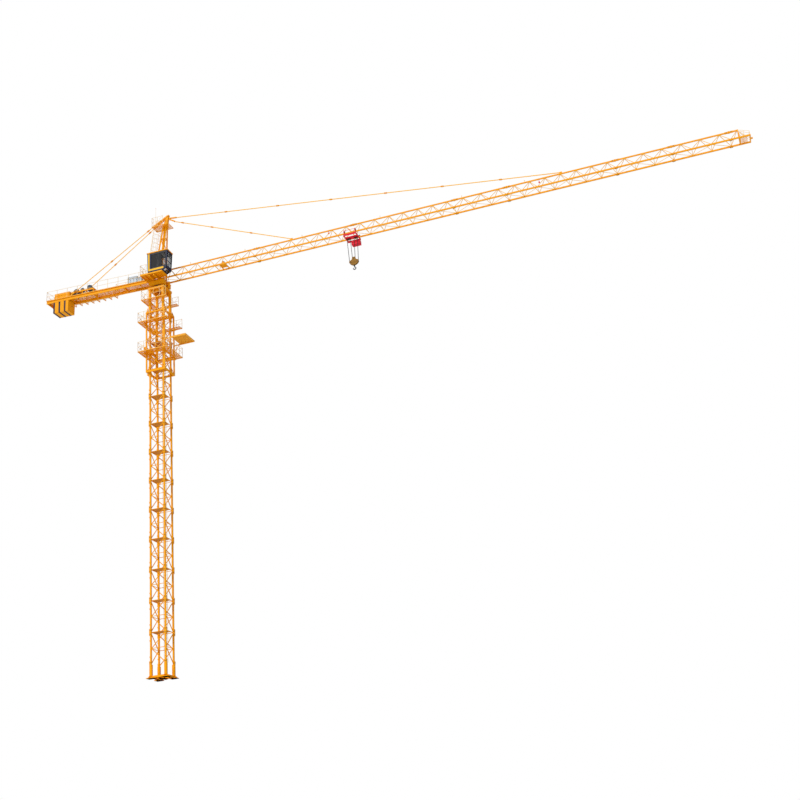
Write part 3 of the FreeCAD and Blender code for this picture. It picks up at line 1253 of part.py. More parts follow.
def cab_shell():
    """The hollow cab with its roof edge, its windows and its doorway."""
    walls = cab_prism(cab_profile(0), CAB_NEAR, CAB_FAR)
    room = cab_prism(cab_profile(CAB_WALL), CAB_NEAR + CAB_WALL, CAB_FAR - CAB_WALL)
    edge, lip = CAB_ROOF_EDGE, CAB_ROOF_LIP
    roof = block(CAB_REAR - edge, CAB_FRONT + lip, CAB_NEAR - lip, CAB_FAR + lip / 2, CAB_ROOF_Z,
                 CAB_ROOF_Z + edge)
    shell = fuse([walls, roof]).cut(room)
    cuts = [side_window(CAB_NEAR - 1, CAB_NEAR + CAB_WALL + 1),
            side_window(CAB_FAR - CAB_WALL - 1, CAB_FAR + 1),
            front_slot(20.0), foot_slot(10.0), door_space(CAB_REAR - 60, CAB_REAR + CAB_WALL + 20)]
    return shell.cut(Part.makeCompound(cuts))


def cab_glass():
    """One pane in the middle of the wall at each window."""
    inset_by = (CAB_WALL - CAB_PANE) / 2
    near, far = CAB_NEAR + inset_by, CAB_FAR - inset_by
    return [side_window(near, near + CAB_PANE), side_window(far - CAB_PANE, far), front_slot(-inset_by),
            foot_slot(-inset_by)]


def cab_door():
    return door_space(CAB_REAR - 3, CAB_REAR + 15)


def cab_platform():
    """The deck that carries the cab, on two arms from the foot of the tower head."""
    z0, z1 = HEAD_FOOT_Z, CAB_FLOOR_Z
    y0, y1 = CAB_NEAR - 10, -COUNTER_DECK_HALF - CAB_DECK_GAP
    x0, x1 = CAB_DECK_REAR, CAB_FRONT - CAB_TOE_LENGTH
    rim, joist, arm = CAB_DECK_RIM, CAB_JOIST / 2, CAB_ARM / 2
    hollow = block(x0 + rim, x1 - rim, y0 + rim, y1 - rim, z0, z1 - rim / 2)
    pieces = [block(x0, x1, y0, y1, z0, z1).cut(hollow)]
    for x in stations(x0, x1, CAB_JOIST_PITCH)[1:-1]:
        pieces.append(block(x - joist, x + joist, y0 + 20, y1 - 20, z0, z1))
    arm_end = -JIB_HALF_WIDTH - HEAD_BEAM_WIDTH / 2
    for x in (-HEAD_FOOT_X + 80, HEAD_FOOT_X - 80):
        pieces.append(block(x - arm, x + arm, y0 + 40, arm_end, z0 - CAB_ARM_DEPTH, z0))
    return fuse(pieces)


def cab_rails():
    """Railings on the near side and across the rear of the cab's deck."""
    y0, y1 = CAB_NEAR, -COUNTER_DECK_HALF - CAB_DECK_GAP - RAIL_BAR
    x0, x1 = CAB_DECK_REAR + RAIL_BAR, CAB_REAR - 50
    return rail_runs([(x1, y0), (x0, y0), (x0, y1)], CAB_FLOOR_Z)


# ---- trolley, ropes, block and hook ----

def trolley_frame():
    """Side rails below the chords, posts that carry the wheels from outside, and cross beams."""
    x0, x1 = TROLLEY_X - TROLLEY_HALF, TROLLEY_X + TROLLEY_HALF
    foot, rail_top, top = JIB_Z - TROLLEY_RAIL_BOTTOM, JIB_Z - TROLLEY_RAIL_TOP, JIB_Z + TROLLEY_TOP
    half_post = TROLLEY_POST / 2
    pieces = []
    for sy in (-1, 1):
        y0, y1 = sorted((sy * SIDE_PLATE_INNER, sy * SIDE_PLATE_OUTER))
        middle = (y0 + y1) / 2
        pieces.append(block(x0, x1, y0, y1, foot, rail_top))
        hub = sorted((sy * (CHORD_OUTER + SEAT_GAP), sy * SIDE_PLATE_INNER))
        for x in wheel_places():
            pieces.append(block(x - half_post, x + half_post, y0, y1, rail_top, top))
            pieces.append(rod(V(x, hub[0], WHEEL_Z), V(x, hub[1], WHEEL_Z), AXLE_RADIUS))
            pieces.append(Part.makeSphere(TROLLEY_BALL, V(x, middle, top + 10)))
        ends = [V(x, middle, top + 10) for x in wheel_places()]
        pieces.append(rod(ends[0], ends[1], 9))
    for x in (x0, x1 - TROLLEY_CROSS):
        pieces.append(block(x, x + TROLLEY_CROSS, -SIDE_PLATE_OUTER, SIDE_PLATE_OUTER, foot, JIB_Z - 90))
    for y in (-70, 50):
        pieces.append(block(x0, x1, y, y + TROLLEY_PLATE, foot + 10, rail_top))
    for x in sheave_places():
        pieces.append(rod(V(x, -60, TROLLEY_SHEAVE_Z), V(x, 60, TROLLEY_SHEAVE_Z), TROLLEY_PIN))
    return fuse(pieces)


def wheel_places():
    reach = TROLLEY_HALF - TROLLEY_POST * 1.5
    return [TROLLEY_X - reach, TROLLEY_X + reach]


def sheave_places():
    return [TROLLEY_X - TROLLEY_SHEAVE_X, TROLLEY_X + TROLLEY_SHEAVE_X]


def trolley_wheels():
    wheels = []
    for y in (-CHORD_OUTER, CHORD_OUTER - WHEEL_WIDTH):
        for x in wheel_places():
            wheels.append(rod(V(x, y, WHEEL_Z), V(x, y + WHEEL_WIDTH, WHEEL_Z), WHEEL_RADIUS))
    return wheels


def sheave(x, z, half_width, radius, bore):
    start, end = V(x, -half_width, z), V(x, half_width, z)
    return rod(start, end, radius).cut(rod(start, end, bore))


def trolley_sheaves():
    return [sheave(x, TROLLEY_SHEAVE_Z, SHEAVE_HALF_WIDTH, TROLLEY_SHEAVE, TROLLEY_PIN + SHAFT_GAP)
            for x in sheave_places()]


def trolley_basket():
    """The maintenance basket on the far side, open at the top."""
    wall, top = BASKET_WALL, JIB_Z - BASKET_TOP
    x0, x1 = TROLLEY_X - BASKET_REAR, TROLLEY_X + BASKET_FRONT
    y0, y1 = SIDE_PLATE_OUTER, SIDE_PLATE_OUTER + BASKET_WIDTH
    room = block(x0 + wall, x1 - wall, y0 + wall, y1 - wall, top - BASKET_DEPTH + wall, top)
    return block(x0, x1, y0, y1, top - BASKET_DEPTH, top).cut(room)


def rope_ends():
    """The top and bottom end of each fall, on the outer and inner edges of the sheaves."""
    falls = []
    gap = ROPE_RADIUS + ROPE_GAP
    for sx in (-1, 1):
        outer_top, outer_foot = TROLLEY_SHEAVE_X + TROLLEY_SHEAVE + gap, SIDE_SHEAVE_X + BLOCK_SHEAVE + gap
        inner_top, inner_foot = TROLLEY_SHEAVE_X - TROLLEY_SHEAVE - gap, BLOCK_SHEAVE + gap
        falls.append((V(TROLLEY_X + sx * outer_top, 0, TROLLEY_SHEAVE_Z),
                      V(TROLLEY_X + sx * outer_foot, 0, BLOCK_TOP_Z - SIDE_SHEAVE_DROP)))
        falls.append((V(TROLLEY_X + sx * inner_top, 0, TROLLEY_SHEAVE_Z),
                      V(TROLLEY_X + sx * inner_foot, 0, BLOCK_TOP_Z - TOP_SHEAVE_DROP)))
    return falls


def hoist_ropes():
    return [rod(top, bottom, ROPE_RADIUS) for top, bottom in rope_ends()]


def block_sheave_places():
    """The axes of the block's three sheaves, as (x, z)."""
    side_z = BLOCK_TOP_Z - SIDE_SHEAVE_DROP
    return [(TROLLEY_X, BLOCK_TOP_Z - TOP_SHEAVE_DROP), (TROLLEY_X - SIDE_SHEAVE_X, side_z),
            (TROLLEY_X + SIDE_SHEAVE_X, side_z)]


def hook_block():
    """Two three-lobed plates with the sheave pins and the cross beam of the hook between them."""
    top, bottom, half, gap = BLOCK_TOP_Z, BLOCK_BOTTOM_Z, BLOCK_HALF_LENGTH, BLOCK_HALF_GAP
    right = [(70, top), (95, top - 130), (half - 20, top - 180), (half, top - 260), (half - 50, top - 345),
             (70, bottom)]
    outline = right + [(-x, z) for x, z in reversed(right)]
    pieces = [block(TROLLEY_X - BLOCK_BEAM, TROLLEY_X + BLOCK_BEAM, -gap, gap, bottom, bottom + BLOCK_BEAM)]
    for y in (-gap - BLOCK_PLATE, gap):
        pieces.append(sheet([V(TROLLEY_X + x, y, z) for x, z in outline], V(0, BLOCK_PLATE, 0)))
    for x, z in block_sheave_places():
        pieces.append(rod(V(x, -gap, z), V(x, gap, z), AXLE_RADIUS))
    bore = rod(V(TROLLEY_X, 0, bottom - 1), V(TROLLEY_X, 0, bottom + BLOCK_BEAM + 1), HOOK_SHANK + SEAT_GAP)
    return fuse(pieces).cut(bore)


def block_sheaves():
    return [sheave(x, z, BLOCK_SHEAVE_HALF_WIDTH, BLOCK_SHEAVE, AXLE_RADIUS + SHAFT_GAP)
            for x, z in block_sheave_places()]


def hook():
    """A plain lifting hook on its shank, with a nut above the block's cross beam."""
    bottom = BLOCK_BOTTOM_Z
    bend_z = bottom - HOOK_DROP
    nut_z = bottom + BLOCK_BEAM
    tip_angle = math.radians(HOOK_TIP_ANGLE)
    shank = rod(V(TROLLEY_X, 0, bend_z + 50), V(TROLLEY_X, 0, nut_z + HOOK_NUT), HOOK_SHANK)
    collar = rod(V(TROLLEY_X, 0, bottom - 40), V(TROLLEY_X, 0, bottom - SEAT_GAP), HOOK_SHANK + 16)
    nut = rod(V(TROLLEY_X, 0, nut_z + SEAT_GAP), V(TROLLEY_X, 0, nut_z + HOOK_NUT), HOOK_SHANK + 9)
    ring = Part.makeTorus(HOOK_BEND, HOOK_RADIUS, V(0, 0, 0), V(0, 0, 1), -180, 180, 90 - HOOK_TIP_ANGLE)
    ring.rotate(V(0, 0, 0), V(1, 0, 0), 90)
    ring.rotate(V(0, 0, 0), V(0, 1, 0), -HOOK_TIP_ANGLE)
    ring.translate(V(TROLLEY_X, 0, bend_z))
    tip = Part.makeSphere(HOOK_RADIUS, V(TROLLEY_X + HOOK_BEND * math.cos(tip_angle), 0,
                                         bend_z + HOOK_BEND * math.sin(tip_angle)))
    return fuse([shank, collar, nut, ring, tip])


# ---- everything, by name ----

def build():
    save("base_frame", [base_frame()])
    save("mast_posts", mast_posts())
    for turn, name in enumerate(("near", "front", "far", "back")):
        save("mast_bracing_" + name, [mast_bracing_side(turn)])
    save("mast_ladder", [mast_ladder()])
    save("mast_rest_platforms", rest_platforms())
    save("lower_support", [lower_support()])
    save("slewing_ring_lower", slewing_ring_lower())
    save("support_platform", [support_platform()])
    save("platform_rails", platform_rails())
    save("cage_frame", [cage_frame()])
    save("cage_bracing", cage_bracing())
    save("cage_upper_platform", [cage_platform(UPPER_PLATFORM_Z, False)])
    save("cage_lower_platform", [cage_platform(LOWER_PLATFORM_Z, True)])
    save("loading_platform", [loading_platform()])
    save("jack", [jack()])
    save("slewing_ring_upper", [race(UPPER_RACE_Z)])
    save("upper_support", [upper_support()])
    save("slewing_motors", slewing_motors())
    save("tower_head", [tower_head()])
    save("head_peak", [head_peak()])
    save("head_platform", [head_platform()])
    save("head_rails", head_rails())
    save("head_ladder", [head_ladder()])
    save("jib_top_chord", [jib_top_chord()])
    save("jib_lower_chords", [jib_lower_chord(-1), jib_lower_chord(1)])
    save("jib_near_bracing", [jib_side_bracing(-1)])
    save("jib_far_bracing", [jib_side_bracing(1)])
    save("jib_bottom_bracing", [jib_bottom_bracing()])
    save("jib_tip", jib_tip())
    save("trolley_winch", [trolley_winch()])
    save("trolley_drum", [trolley_drum()])
    save("jib_pendants", jib_pendants())
    save("counter_ties", counter_ties())
    save("counter_beams", [counter_beams()])
    save_raked("counter_bracing", [counter_bracing()])
    save_raked("counter_deck", [counter_deck()])
    save_raked("counter_walkway", [counter_walkway()])
    save_raked("counter_rails", counter_rails())
    save_raked("counterweights", counterweights())
    save_raked("winch_frame", [winch_frame()])
    save_raked("winch_motor", winch_motor())
    save_raked("hoist_drum", [hoist_drum()])
    save_raked("cabinets", cabinets())
    save("cab_shell", [cab_shell()])
    save("cab_glass", cab_glass())
    save("cab_door", [cab_door()])
    save("cab_platform", [cab_platform()])
    save("cab_rails", cab_rails())
    save("trolley_frame", [trolley_frame()])
    save("trolley_wheels", trolley_wheels())
    save("trolley_sheaves", trolley_sheaves())
    save("trolley_basket", [trolley_basket()])
    save("hoist_ropes", hoist_ropes())
    save("hook_block", [hook_block()])
    save("block_sheaves", block_sheaves())
    save("hook", [hook()])


build()
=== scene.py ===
import json
import math
import bmesh
import bpy
from mathutils import Matrix, Vector


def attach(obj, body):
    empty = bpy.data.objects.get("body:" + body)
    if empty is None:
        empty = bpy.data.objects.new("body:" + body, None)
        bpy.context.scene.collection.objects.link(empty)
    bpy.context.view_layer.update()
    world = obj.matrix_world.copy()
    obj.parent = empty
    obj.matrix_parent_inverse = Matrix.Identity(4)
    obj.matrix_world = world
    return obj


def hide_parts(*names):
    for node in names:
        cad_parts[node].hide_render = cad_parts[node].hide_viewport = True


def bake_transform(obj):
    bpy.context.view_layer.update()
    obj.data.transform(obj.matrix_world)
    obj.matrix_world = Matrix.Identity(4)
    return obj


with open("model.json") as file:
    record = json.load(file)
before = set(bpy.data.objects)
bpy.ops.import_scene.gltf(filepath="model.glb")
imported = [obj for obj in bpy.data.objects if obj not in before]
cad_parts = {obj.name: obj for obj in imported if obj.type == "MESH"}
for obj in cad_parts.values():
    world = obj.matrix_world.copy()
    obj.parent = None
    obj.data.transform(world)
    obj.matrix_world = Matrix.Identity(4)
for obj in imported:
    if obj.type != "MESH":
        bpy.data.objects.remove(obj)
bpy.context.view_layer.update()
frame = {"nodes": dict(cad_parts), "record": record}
record = frame["record"]
print("stage: frame loaded")

# Looks of a hammerhead tower crane at half size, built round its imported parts. Lengths are metres.
# +X runs along the jib, -Y is the cab's side, and the base rests at Z = 0.


def moveTo(x, y, z):
    return Matrix.Translation((x, y, z))


def turnAbout(axis, degrees):
    return Matrix.Rotation(math.radians(degrees), 4, axis)


slewPlace = next(j for j in record["behaviour"]["joints"] if j["name"] == "slew")["pos_m"]
jibZ = slewPlace[2] + 0.38       # centre plane of the jib's lower chords
mastTop = jibZ - 2.04
mastFoot = 0.59
sectionRise = 1.4
sectionCount = round((mastTop - mastFoot) / sectionRise)
mastHalf = 0.355                 # to the middle of a corner post
jibHalf = 0.281
jibRise = 0.555
jibStart = 0.26
deckUnder = jibZ + 0.0753        # of the counter-jib, before its rake
deckTop = jibZ + 0.0993
rake = moveTo(-0.264, 0, deckUnder) @ turnAbout("Y", 1.8) @ moveTo(0.264, 0, -deckUnder)
quarters = [turnAbout("Z", 90 * i) for i in range(4)]    # the mast's four sides, the near one first


# node trees

def feed(tree, node, values):
    # gives inputs a plain value, or links them to another node's output
    for key, value in values.items():
        if isinstance(value, bpy.types.NodeSocket):
            tree.links.new(value, node.inputs[key])
        else:
            node.inputs[key].default_value = value


def addNode(tree, kind, values=()):
    node = tree.nodes.new(kind)
    feed(tree, node, dict(values))
    return node


def mixShader(tree, share, first, second, output):
    # the second shader shows where the share is one
    blend = addNode(tree, "ShaderNodeMixShader", {0: share, 1: first, 2: second})
    feed(tree, tree.nodes[output], {"Surface": blend.outputs["Shader"]})


# studio

studioLook = {"white": (1, 1, 1, 1), "skyStrength": 0.42, "backStrength": 1.0, "sunStrength": 2.4,
              "sunAngle": 12.0, "sunFrom": (-0.35, -0.8, 0.75), "fillStrength": 1.0,
              "fillFrom": (0.9, -0.3, -0.1), "floorSize": 4000.0, "floorColour": (0.86, 0.86, 0.85, 1),
              "floorRoughness": 0.8}


def addSun(name, strength, angle, comesFrom):
    lamp = bpy.data.lights.new(name, "SUN")
    lamp.energy = strength
    lamp.angle = math.radians(angle)
    lampObject = bpy.data.objects.new(name, lamp)
    bpy.context.scene.collection.objects.link(lampObject)
    lampObject.rotation_euler = Vector(comesFrom).to_track_quat("Z", "Y").to_euler()


def buildStudio(look):
    # white behind the crane, and a softer sky that lights it
    world = bpy.data.worlds.new("softStudio")
    world.use_nodes = True
    tree = world.node_tree
    sky = tree.nodes["Background"]
    feed(tree, sky, {"Color": look["white"], "Strength": look["skyStrength"]})
    back = addNode(tree, "ShaderNodeBackground", {"Color": look["white"], "Strength": look["backStrength"]})
    path = addNode(tree, "ShaderNodeLightPath")
    mixShader(tree, path.outputs["Is Camera Ray"], sky.outputs[0], back.outputs[0], "World Output")
    bpy.context.scene.world = world
    addSun("keySun", look["sunStrength"], look["sunAngle"], look["sunFrom"])
    addSun("fillSun", look["fillStrength"], look["sunAngle"], look["fillFrom"])
    bpy.context.scene.view_settings.view_transform = "Standard"


def buildFloor(look):
    # the camera is set low, so the floor lets it look up through its underside
    bpy.ops.mesh.primitive_plane_add(size=look["floorSize"])
    floor = bpy.context.object
    floor.name = "studioFloor"
    paint = bpy.data.materials.new("studioFloorPaint")
    paint.use_nodes = True
    tree = paint.node_tree
    shader = tree.nodes["Principled BSDF"]
    feed(tree, shader, {"Base Color": look["floorColour"], "Roughness": look["floorRoughness"]})
    side = addNode(tree, "ShaderNodeNewGeometry")
    clear = addNode(tree, "ShaderNodeBsdfTransparent")
    mixShader(tree, side.outputs["Backfacing"], shader.outputs[0], clear.outputs[0], "Material Output")
    floor.data.materials.append(paint)


# the camera stands on the ground, far to the cab's side, and looks up
cameraLook = {"place": (24.228, -44.862, jibZ - 28.233), "yaw": -0.2714, "pitch": 0.3948,
              "roll": -0.094, "focal": 51.46, "sensor": 36.0, "near": 0.1, "far": 2000.0}


def buildCamera(look):
    yaw, pitch, roll = look["yaw"], look["pitch"], look["roll"]
    ahead = Vector((math.sin(yaw) * math.cos(pitch), math.cos(yaw) * math.cos(pitch), math.sin(pitch)))
    level = Vector((math.cos(yaw), -math.sin(yaw), 0))
    upward = level.cross(ahead)
    right = level * math.cos(roll) + upward * math.sin(roll)
    top = upward * math.cos(roll) - level * math.sin(roll)
    lens = bpy.data.cameras.new("groundCamera")
    lens.sensor_width = look["sensor"]
    lens.lens = look["focal"]
    lens.clip_start = look["near"]
    lens.clip_end = look["far"]
    camera = bpy.data.objects.new("groundCamera", lens)
    bpy.context.scene.collection.objects.link(camera)
    turn = Matrix((right, top, -ahead)).transposed()
    camera.matrix_world = moveTo(*look["place"]) @ turn.to_4x4()
    bpy.context.scene.camera = camera


buildStudio(studioLook)
buildFloor(studioLook)
buildCamera(cameraLook)
print("stage: studio and camera")


# shared effects

def newGroup(name, inputs, outputs):
    group = bpy.data.node_groups.new(name, "ShaderNodeTree")
    for label, kind, value in inputs:
        socket = group.interface.new_socket(label, in_out="INPUT", socket_type="NodeSocket" + kind)
        if value is not None:
            socket.default_value = value
    for label, kind in outputs:
        group.interface.new_socket(label, in_out="OUTPUT", socket_type="NodeSocket" + kind)
    entry = group.nodes.new("NodeGroupInput")
    leave = group.nodes.new("NodeGroupOutput")
    return group, entry, leave


def noiseNode(tree, place, scale, detail=3.0):
    noise = addNode(tree, "ShaderNodeTexNoise", {"Detail": detail, "Scale": scale, "Vector": place})
    return noise.outputs["Fac"]


def mathNode(tree, operation, first, second):
    node = addNode(tree, "ShaderNodeMath", {0: first, 1: second})
    node.operation = operation
    node.use_clamp = operation in ("MULTIPLY", "ADD")
    return node.outputs[0]


def rangeNode(tree, value, low, high):
    node = addNode(tree, "ShaderNodeMapRange", {"From Min": low, "From Max": high, "Value": value})
    node.interpolation_type = "SMOOTHSTEP"
    return node.outputs["Result"]


def noiseMask(tree, place, scale, detail, limits):
    # nought where the noise is under the lower limit, one past the upper
    return rangeNode(tree, noiseNode(tree, place, scale, detail), *limits)


def mixColour(tree, share, first, second):
    node = tree.nodes.new("ShaderNodeMix")
    node.data_type = "RGBA"
    sockets = [i for i, socket in enumerate(node.inputs) if socket.type == "RGBA"]
    feed(tree, node, {"Factor": share, sockets[0]: first, sockets[1]: second})
    return next(socket for socket in node.outputs if socket.type == "RGBA")


def stretched(tree, place, stretch):
    return addNode(tree, "ShaderNodeMapping", {"Scale": stretch, "Vector": place}).outputs["Vector"]


weatherLook = {"patches": (0.35, 0.7), "speckScale": 38.0, "specks": (0.56, 0.74),
               "streakStretch": (26, 26, 1.6), "streaks": (0.52, 0.78), "peelScale": 260.0,
               "speckShare": 0.5, "streakShare": 0.6, "peelShare": 0.5, "dirtRoughness": 0.35}


def buildWeatherGroup(look):
    # slow fading, dust specks and thin rain streaks over an enamel
    group, entry, leave = newGroup("paintWeather", [
        ("Place", "Vector", None), ("Colour", "Color", (1, 1, 1, 1)), ("Faded", "Color", (1, 1, 1, 1)),
        ("Grime", "Color", (0.1, 0.07, 0.04, 1)), ("Fading", "Float", 0.3), ("Grime Amount", "Float", 0.3),
        ("Patch Scale", "Float", 1.5), ("Gloss Roughness", "Float", 0.35)],
        [("Colour", "Color"), ("Roughness", "Float"), ("Height", "Float")])

    def share(value, amount):
        return mathNode(group, "MULTIPLY", value, amount)

    given = entry.outputs
    place = given["Place"]
    patches = noiseMask(group, place, given["Patch Scale"], 3.0, look["patches"])
    specks = noiseMask(group, place, look["speckScale"], 4.0, look["specks"])
    streaks = noiseMask(group, stretched(group, place, look["streakStretch"]), 1.0, 2.0, look["streaks"])
    peel = noiseNode(group, place, look["peelScale"], 2.0)
    dirt = mathNode(group, "ADD", share(specks, look["speckShare"]), share(streaks, look["streakShare"]))
    faded = mixColour(group, share(patches, given["Fading"]), given["Colour"], given["Faded"])
    worn = mixColour(group, share(dirt, given["Grime Amount"]), faded, given["Grime"])
    rough = mathNode(group, "ADD", given["Gloss Roughness"], share(dirt, look["dirtRoughness"]))
    height = mathNode(group, "ADD", share(peel, look["peelShare"]), share(specks, look["speckShare"]))
    feed(group, leave, {"Colour": worn, "Roughness": rough, "Height": height})
    return group


edgeLook = {"samples": 4, "turn": (0.02, 0.12), "breakScale": 24.0, "breaks": (0.42, 0.62)}


def buildEdgeGroup(look):
    # one where a face meets an edge, nought on the flat
    group, entry, leave = newGroup("edgeWear", [("Place", "Vector", None), ("Width", "Float", 0.004)],
                                   [("Mask", "Float")])
    bevel = addNode(group, "ShaderNodeBevel", {"Radius": entry.outputs["Width"]})
    bevel.samples = look["samples"]
    surface = addNode(group, "ShaderNodeNewGeometry")
    match = addNode(group, "ShaderNodeVectorMath", {0: bevel.outputs["Normal"], 1: surface.outputs["Normal"]})
    match.operation = "DOT_PRODUCT"
    edge = rangeNode(group, mathNode(group, "SUBTRACT", 1.0, match.outputs["Value"]), *look["turn"])
    broken = noiseMask(group, entry.outputs["Place"], look["breakScale"], 4.0, look["breaks"])
    feed(group, leave, {"Mask": mathNode(group, "MULTIPLY", edge, broken)})
    return group


grainLook = {"stretch": (60, 60, 420), "blotScale": 14.0, "blots": (0.45, 0.65), "markRoughness": 0.25}


def buildGrainGroup(look):
    # fine turned or drawn marks on bare steel
    group, entry, leave = newGroup("steelGrain", [
        ("Place", "Vector", None), ("Colour", "Color", (0.3, 0.3, 0.3, 1)),
        ("Grease", "Color", (0.03, 0.025, 0.02, 1)), ("Grease Amount", "Float", 0.5),
        ("Base Roughness", "Float", 0.4)], [("Colour", "Color"), ("Roughness", "Float"), ("Height", "Float")])
    given = entry.outputs
    marks = noiseNode(group, stretched(group, given["Place"], look["stretch"]), 1.0, 2.0)
    blots = noiseMask(group, given["Place"], look["blotScale"], 3.0, look["blots"])
    grease = mathNode(group, "MULTIPLY", blots, given["Grease Amount"])
    rough = mathNode(group, "ADD", given["Base Roughness"],
                     mathNode(group, "MULTIPLY", marks, look["markRoughness"]))
    feed(group, leave, {"Colour": mixColour(group, grease, given["Colour"], given["Grease"]),
                        "Roughness": rough, "Height": marks})
    return group


weatherGroup = buildWeatherGroup(weatherLook)
edgeGroup = buildEdgeGroup(edgeLook)
grainGroup = buildGrainGroup(grainLook)


# finishes

def newMaterial(name):
    material = bpy.data.materials.new(name)
    material.use_nodes = True
    tree = material.node_tree
    shader = tree.nodes["Principled BSDF"]
    place = tree.nodes.new("ShaderNodeTexCoord").outputs["Object"]
    return material, tree, shader, place


def placeGroup(tree, group, place, values):
    node = tree.nodes.new("ShaderNodeGroup")
    node.node_tree = group
    feed(tree, node, dict(values, Place=place))
    return node


def raiseBump(tree, shader, height, strength, distance):
    bump = addNode(tree, "ShaderNodeBump", {"Strength": strength, "Distance": distance, "Height": height})
    feed(tree, shader, {"Normal": bump.outputs["Normal"]})


def bandMask(tree, place, axis, low, high, softness=0.002):
    # one between low and high along an axis
    along = addNode(tree, "ShaderNodeSeparateXYZ", {0: place}).outputs["XYZ".index(axis)]
    rise = rangeNode(tree, along, low - softness, low + softness)
    fall = rangeNode(tree, along, high - softness, high + softness)
    return mathNode(tree, "SUBTRACT", rise, fall)


paintRelief, steelRelief = (0.25, 0.0008), (0.2, 0.0004)     # strength and depth of the bumps


def paintMaterial(name, look, marks=()):
    # marks are painted areas: a colour and the bands, one for each axis, that bound it
    material, tree, shader, place = newMaterial(name)
    colour, faded = look["colour"], look["faded"]
    for markColour, bands in marks:
        mask = 1.0
        for axis, low, high in bands:
            mask = mathNode(tree, "MULTIPLY", bandMask(tree, place, axis, low, high), mask)
        colour = mixColour(tree, mask, colour, markColour)
    if marks:
        faded = mixColour(tree, 0.25, colour, faded)
    weather = placeGroup(tree, weatherGroup, place, {
        "Colour": colour, "Faded": faded, "Grime": look["grime"], "Fading": look["fading"],
        "Grime Amount": look["dirt"], "Patch Scale": look["patches"], "Gloss Roughness": look["roughness"]})
    edges = placeGroup(tree, edgeGroup, place, {"Width": look["edge"]})
    wear = mathNode(tree, "MULTIPLY", edges.outputs["Mask"], look["wear"])
    feed(tree, shader, {"Base Color": mixColour(tree, wear, weather.outputs["Colour"], look["bare"]),
                        "Roughness": weather.outputs["Roughness"], "Specular IOR Level": look["shine"],
                        "Coat Weight": look["coat"], "Coat Roughness": 0.15})
    raiseBump(tree, shader, weather.outputs["Height"], *paintRelief)
    return material


def steelMaterial(name, look):
    material, tree, shader, place = newMaterial(name)
    grain = placeGroup(tree, grainGroup, place, {
        "Colour": look["colour"], "Grease": look["grease"], "Grease Amount": look["greaseAmount"],
        "Base Roughness": look["roughness"]})
    feed(tree, shader, {"Base Color": grain.outputs["Colour"], "Roughness": grain.outputs["Roughness"],
                        "Metallic": look["metal"]})
    raiseBump(tree, shader, grain.outputs["Height"], *steelRelief)
    return material


def repaint(look, colour, faded, grime=None, bare=None, **changes):
    # a look like another one in other colours
    colours = {"colour": colour, "faded": faded, "grime": grime, "bare": bare}
    return dict(look, **{key: (*value, 1) for key, value in colours.items() if value}, **changes)


orangeLook = {"colour": (0.90, 0.362, 0.0015, 1), "faded": (0.92, 0.41, 0.004, 1),
              "grime": (0.26, 0.10, 0.006, 1), "bare": (0.50, 0.21, 0.015, 1), "fading": 0.4, "dirt": 0.35,
              "patches": 1.4, "roughness": 0.5, "edge": 0.003, "wear": 0.3, "coat": 0.0, "shine": 0.1}
tieLook = repaint(orangeLook, (0.92, 0.47, 0.02), (0.94, 0.53, 0.04), dirt=0.15)
boardLook = repaint(orangeLook, (0.92, 0.43, 0.03), (0.95, 0.52, 0.08), fading=0.7, dirt=0.3)
paleLook = repaint(orangeLook, (0.88, 0.60, 0.24), (0.90, 0.69, 0.38), (0.35, 0.2, 0.1),
                   fading=0.6, dirt=0.2, coat=0.1)
gratingLook = repaint(orangeLook, (0.62, 0.25, 0.025), (0.72, 0.33, 0.06), (0.16, 0.07, 0.02),
                      dirt=0.7, roughness=0.55)
trolleyLook = repaint(orangeLook, (0.72, 0.006, 0.024), (0.68, 0.015, 0.04), (0.12, 0.02, 0.02),
                      (0.3, 0.05, 0.05))
blockLook = repaint(orangeLook, (0.27, 0.125, 0.010), (0.36, 0.18, 0.02), (0.07, 0.045, 0.02),
                    (0.2, 0.17, 0.13), dirt=1.0, coat=0.05)
machineLook = repaint(orangeLook, (0.06, 0.085, 0.13), (0.09, 0.12, 0.17), (0.02, 0.02, 0.02),
                      (0.25, 0.27, 0.3))
cabinetLook = repaint(orangeLook, (0.56, 0.62, 0.68), (0.64, 0.69, 0.74), (0.3, 0.3, 0.3),
                      (0.7, 0.72, 0.75), dirt=0.25)
cabLook = repaint(orangeLook, (0.006, 0.012, 0.045), (0.012, 0.02, 0.06), (0.03, 0.03, 0.035),
                  (0.03, 0.035, 0.05), fading=0.15, roughness=0.4, coat=0.1, dirt=0.15)
gasketLook = repaint(gratingLook, (0.012, 0.013, 0.016), (0.02, 0.021, 0.024), (0.05, 0.05, 0.05),
                     (0.03, 0.03, 0.03))
darkSteelLook = {"colour": (0.075, 0.075, 0.08, 1), "grease": (0.02, 0.016, 0.012, 1), "greaseAmount": 0.6,
                 "roughness": 0.38, "metal": 0.8}
ropeLook = {"colour": (0.05, 0.05, 0.053, 1), "grease": (0.02, 0.019, 0.018, 1), "greaseAmount": 0.4,
            "roughness": 0.45, "metal": 0.7}
navy, yellow = cabLook["colour"], (0.92, 0.50, 0.008, 1)
charcoal, paintedLightLining = (0.035, 0.036, 0.04, 1), (0.42, 0.42, 0.40, 1)
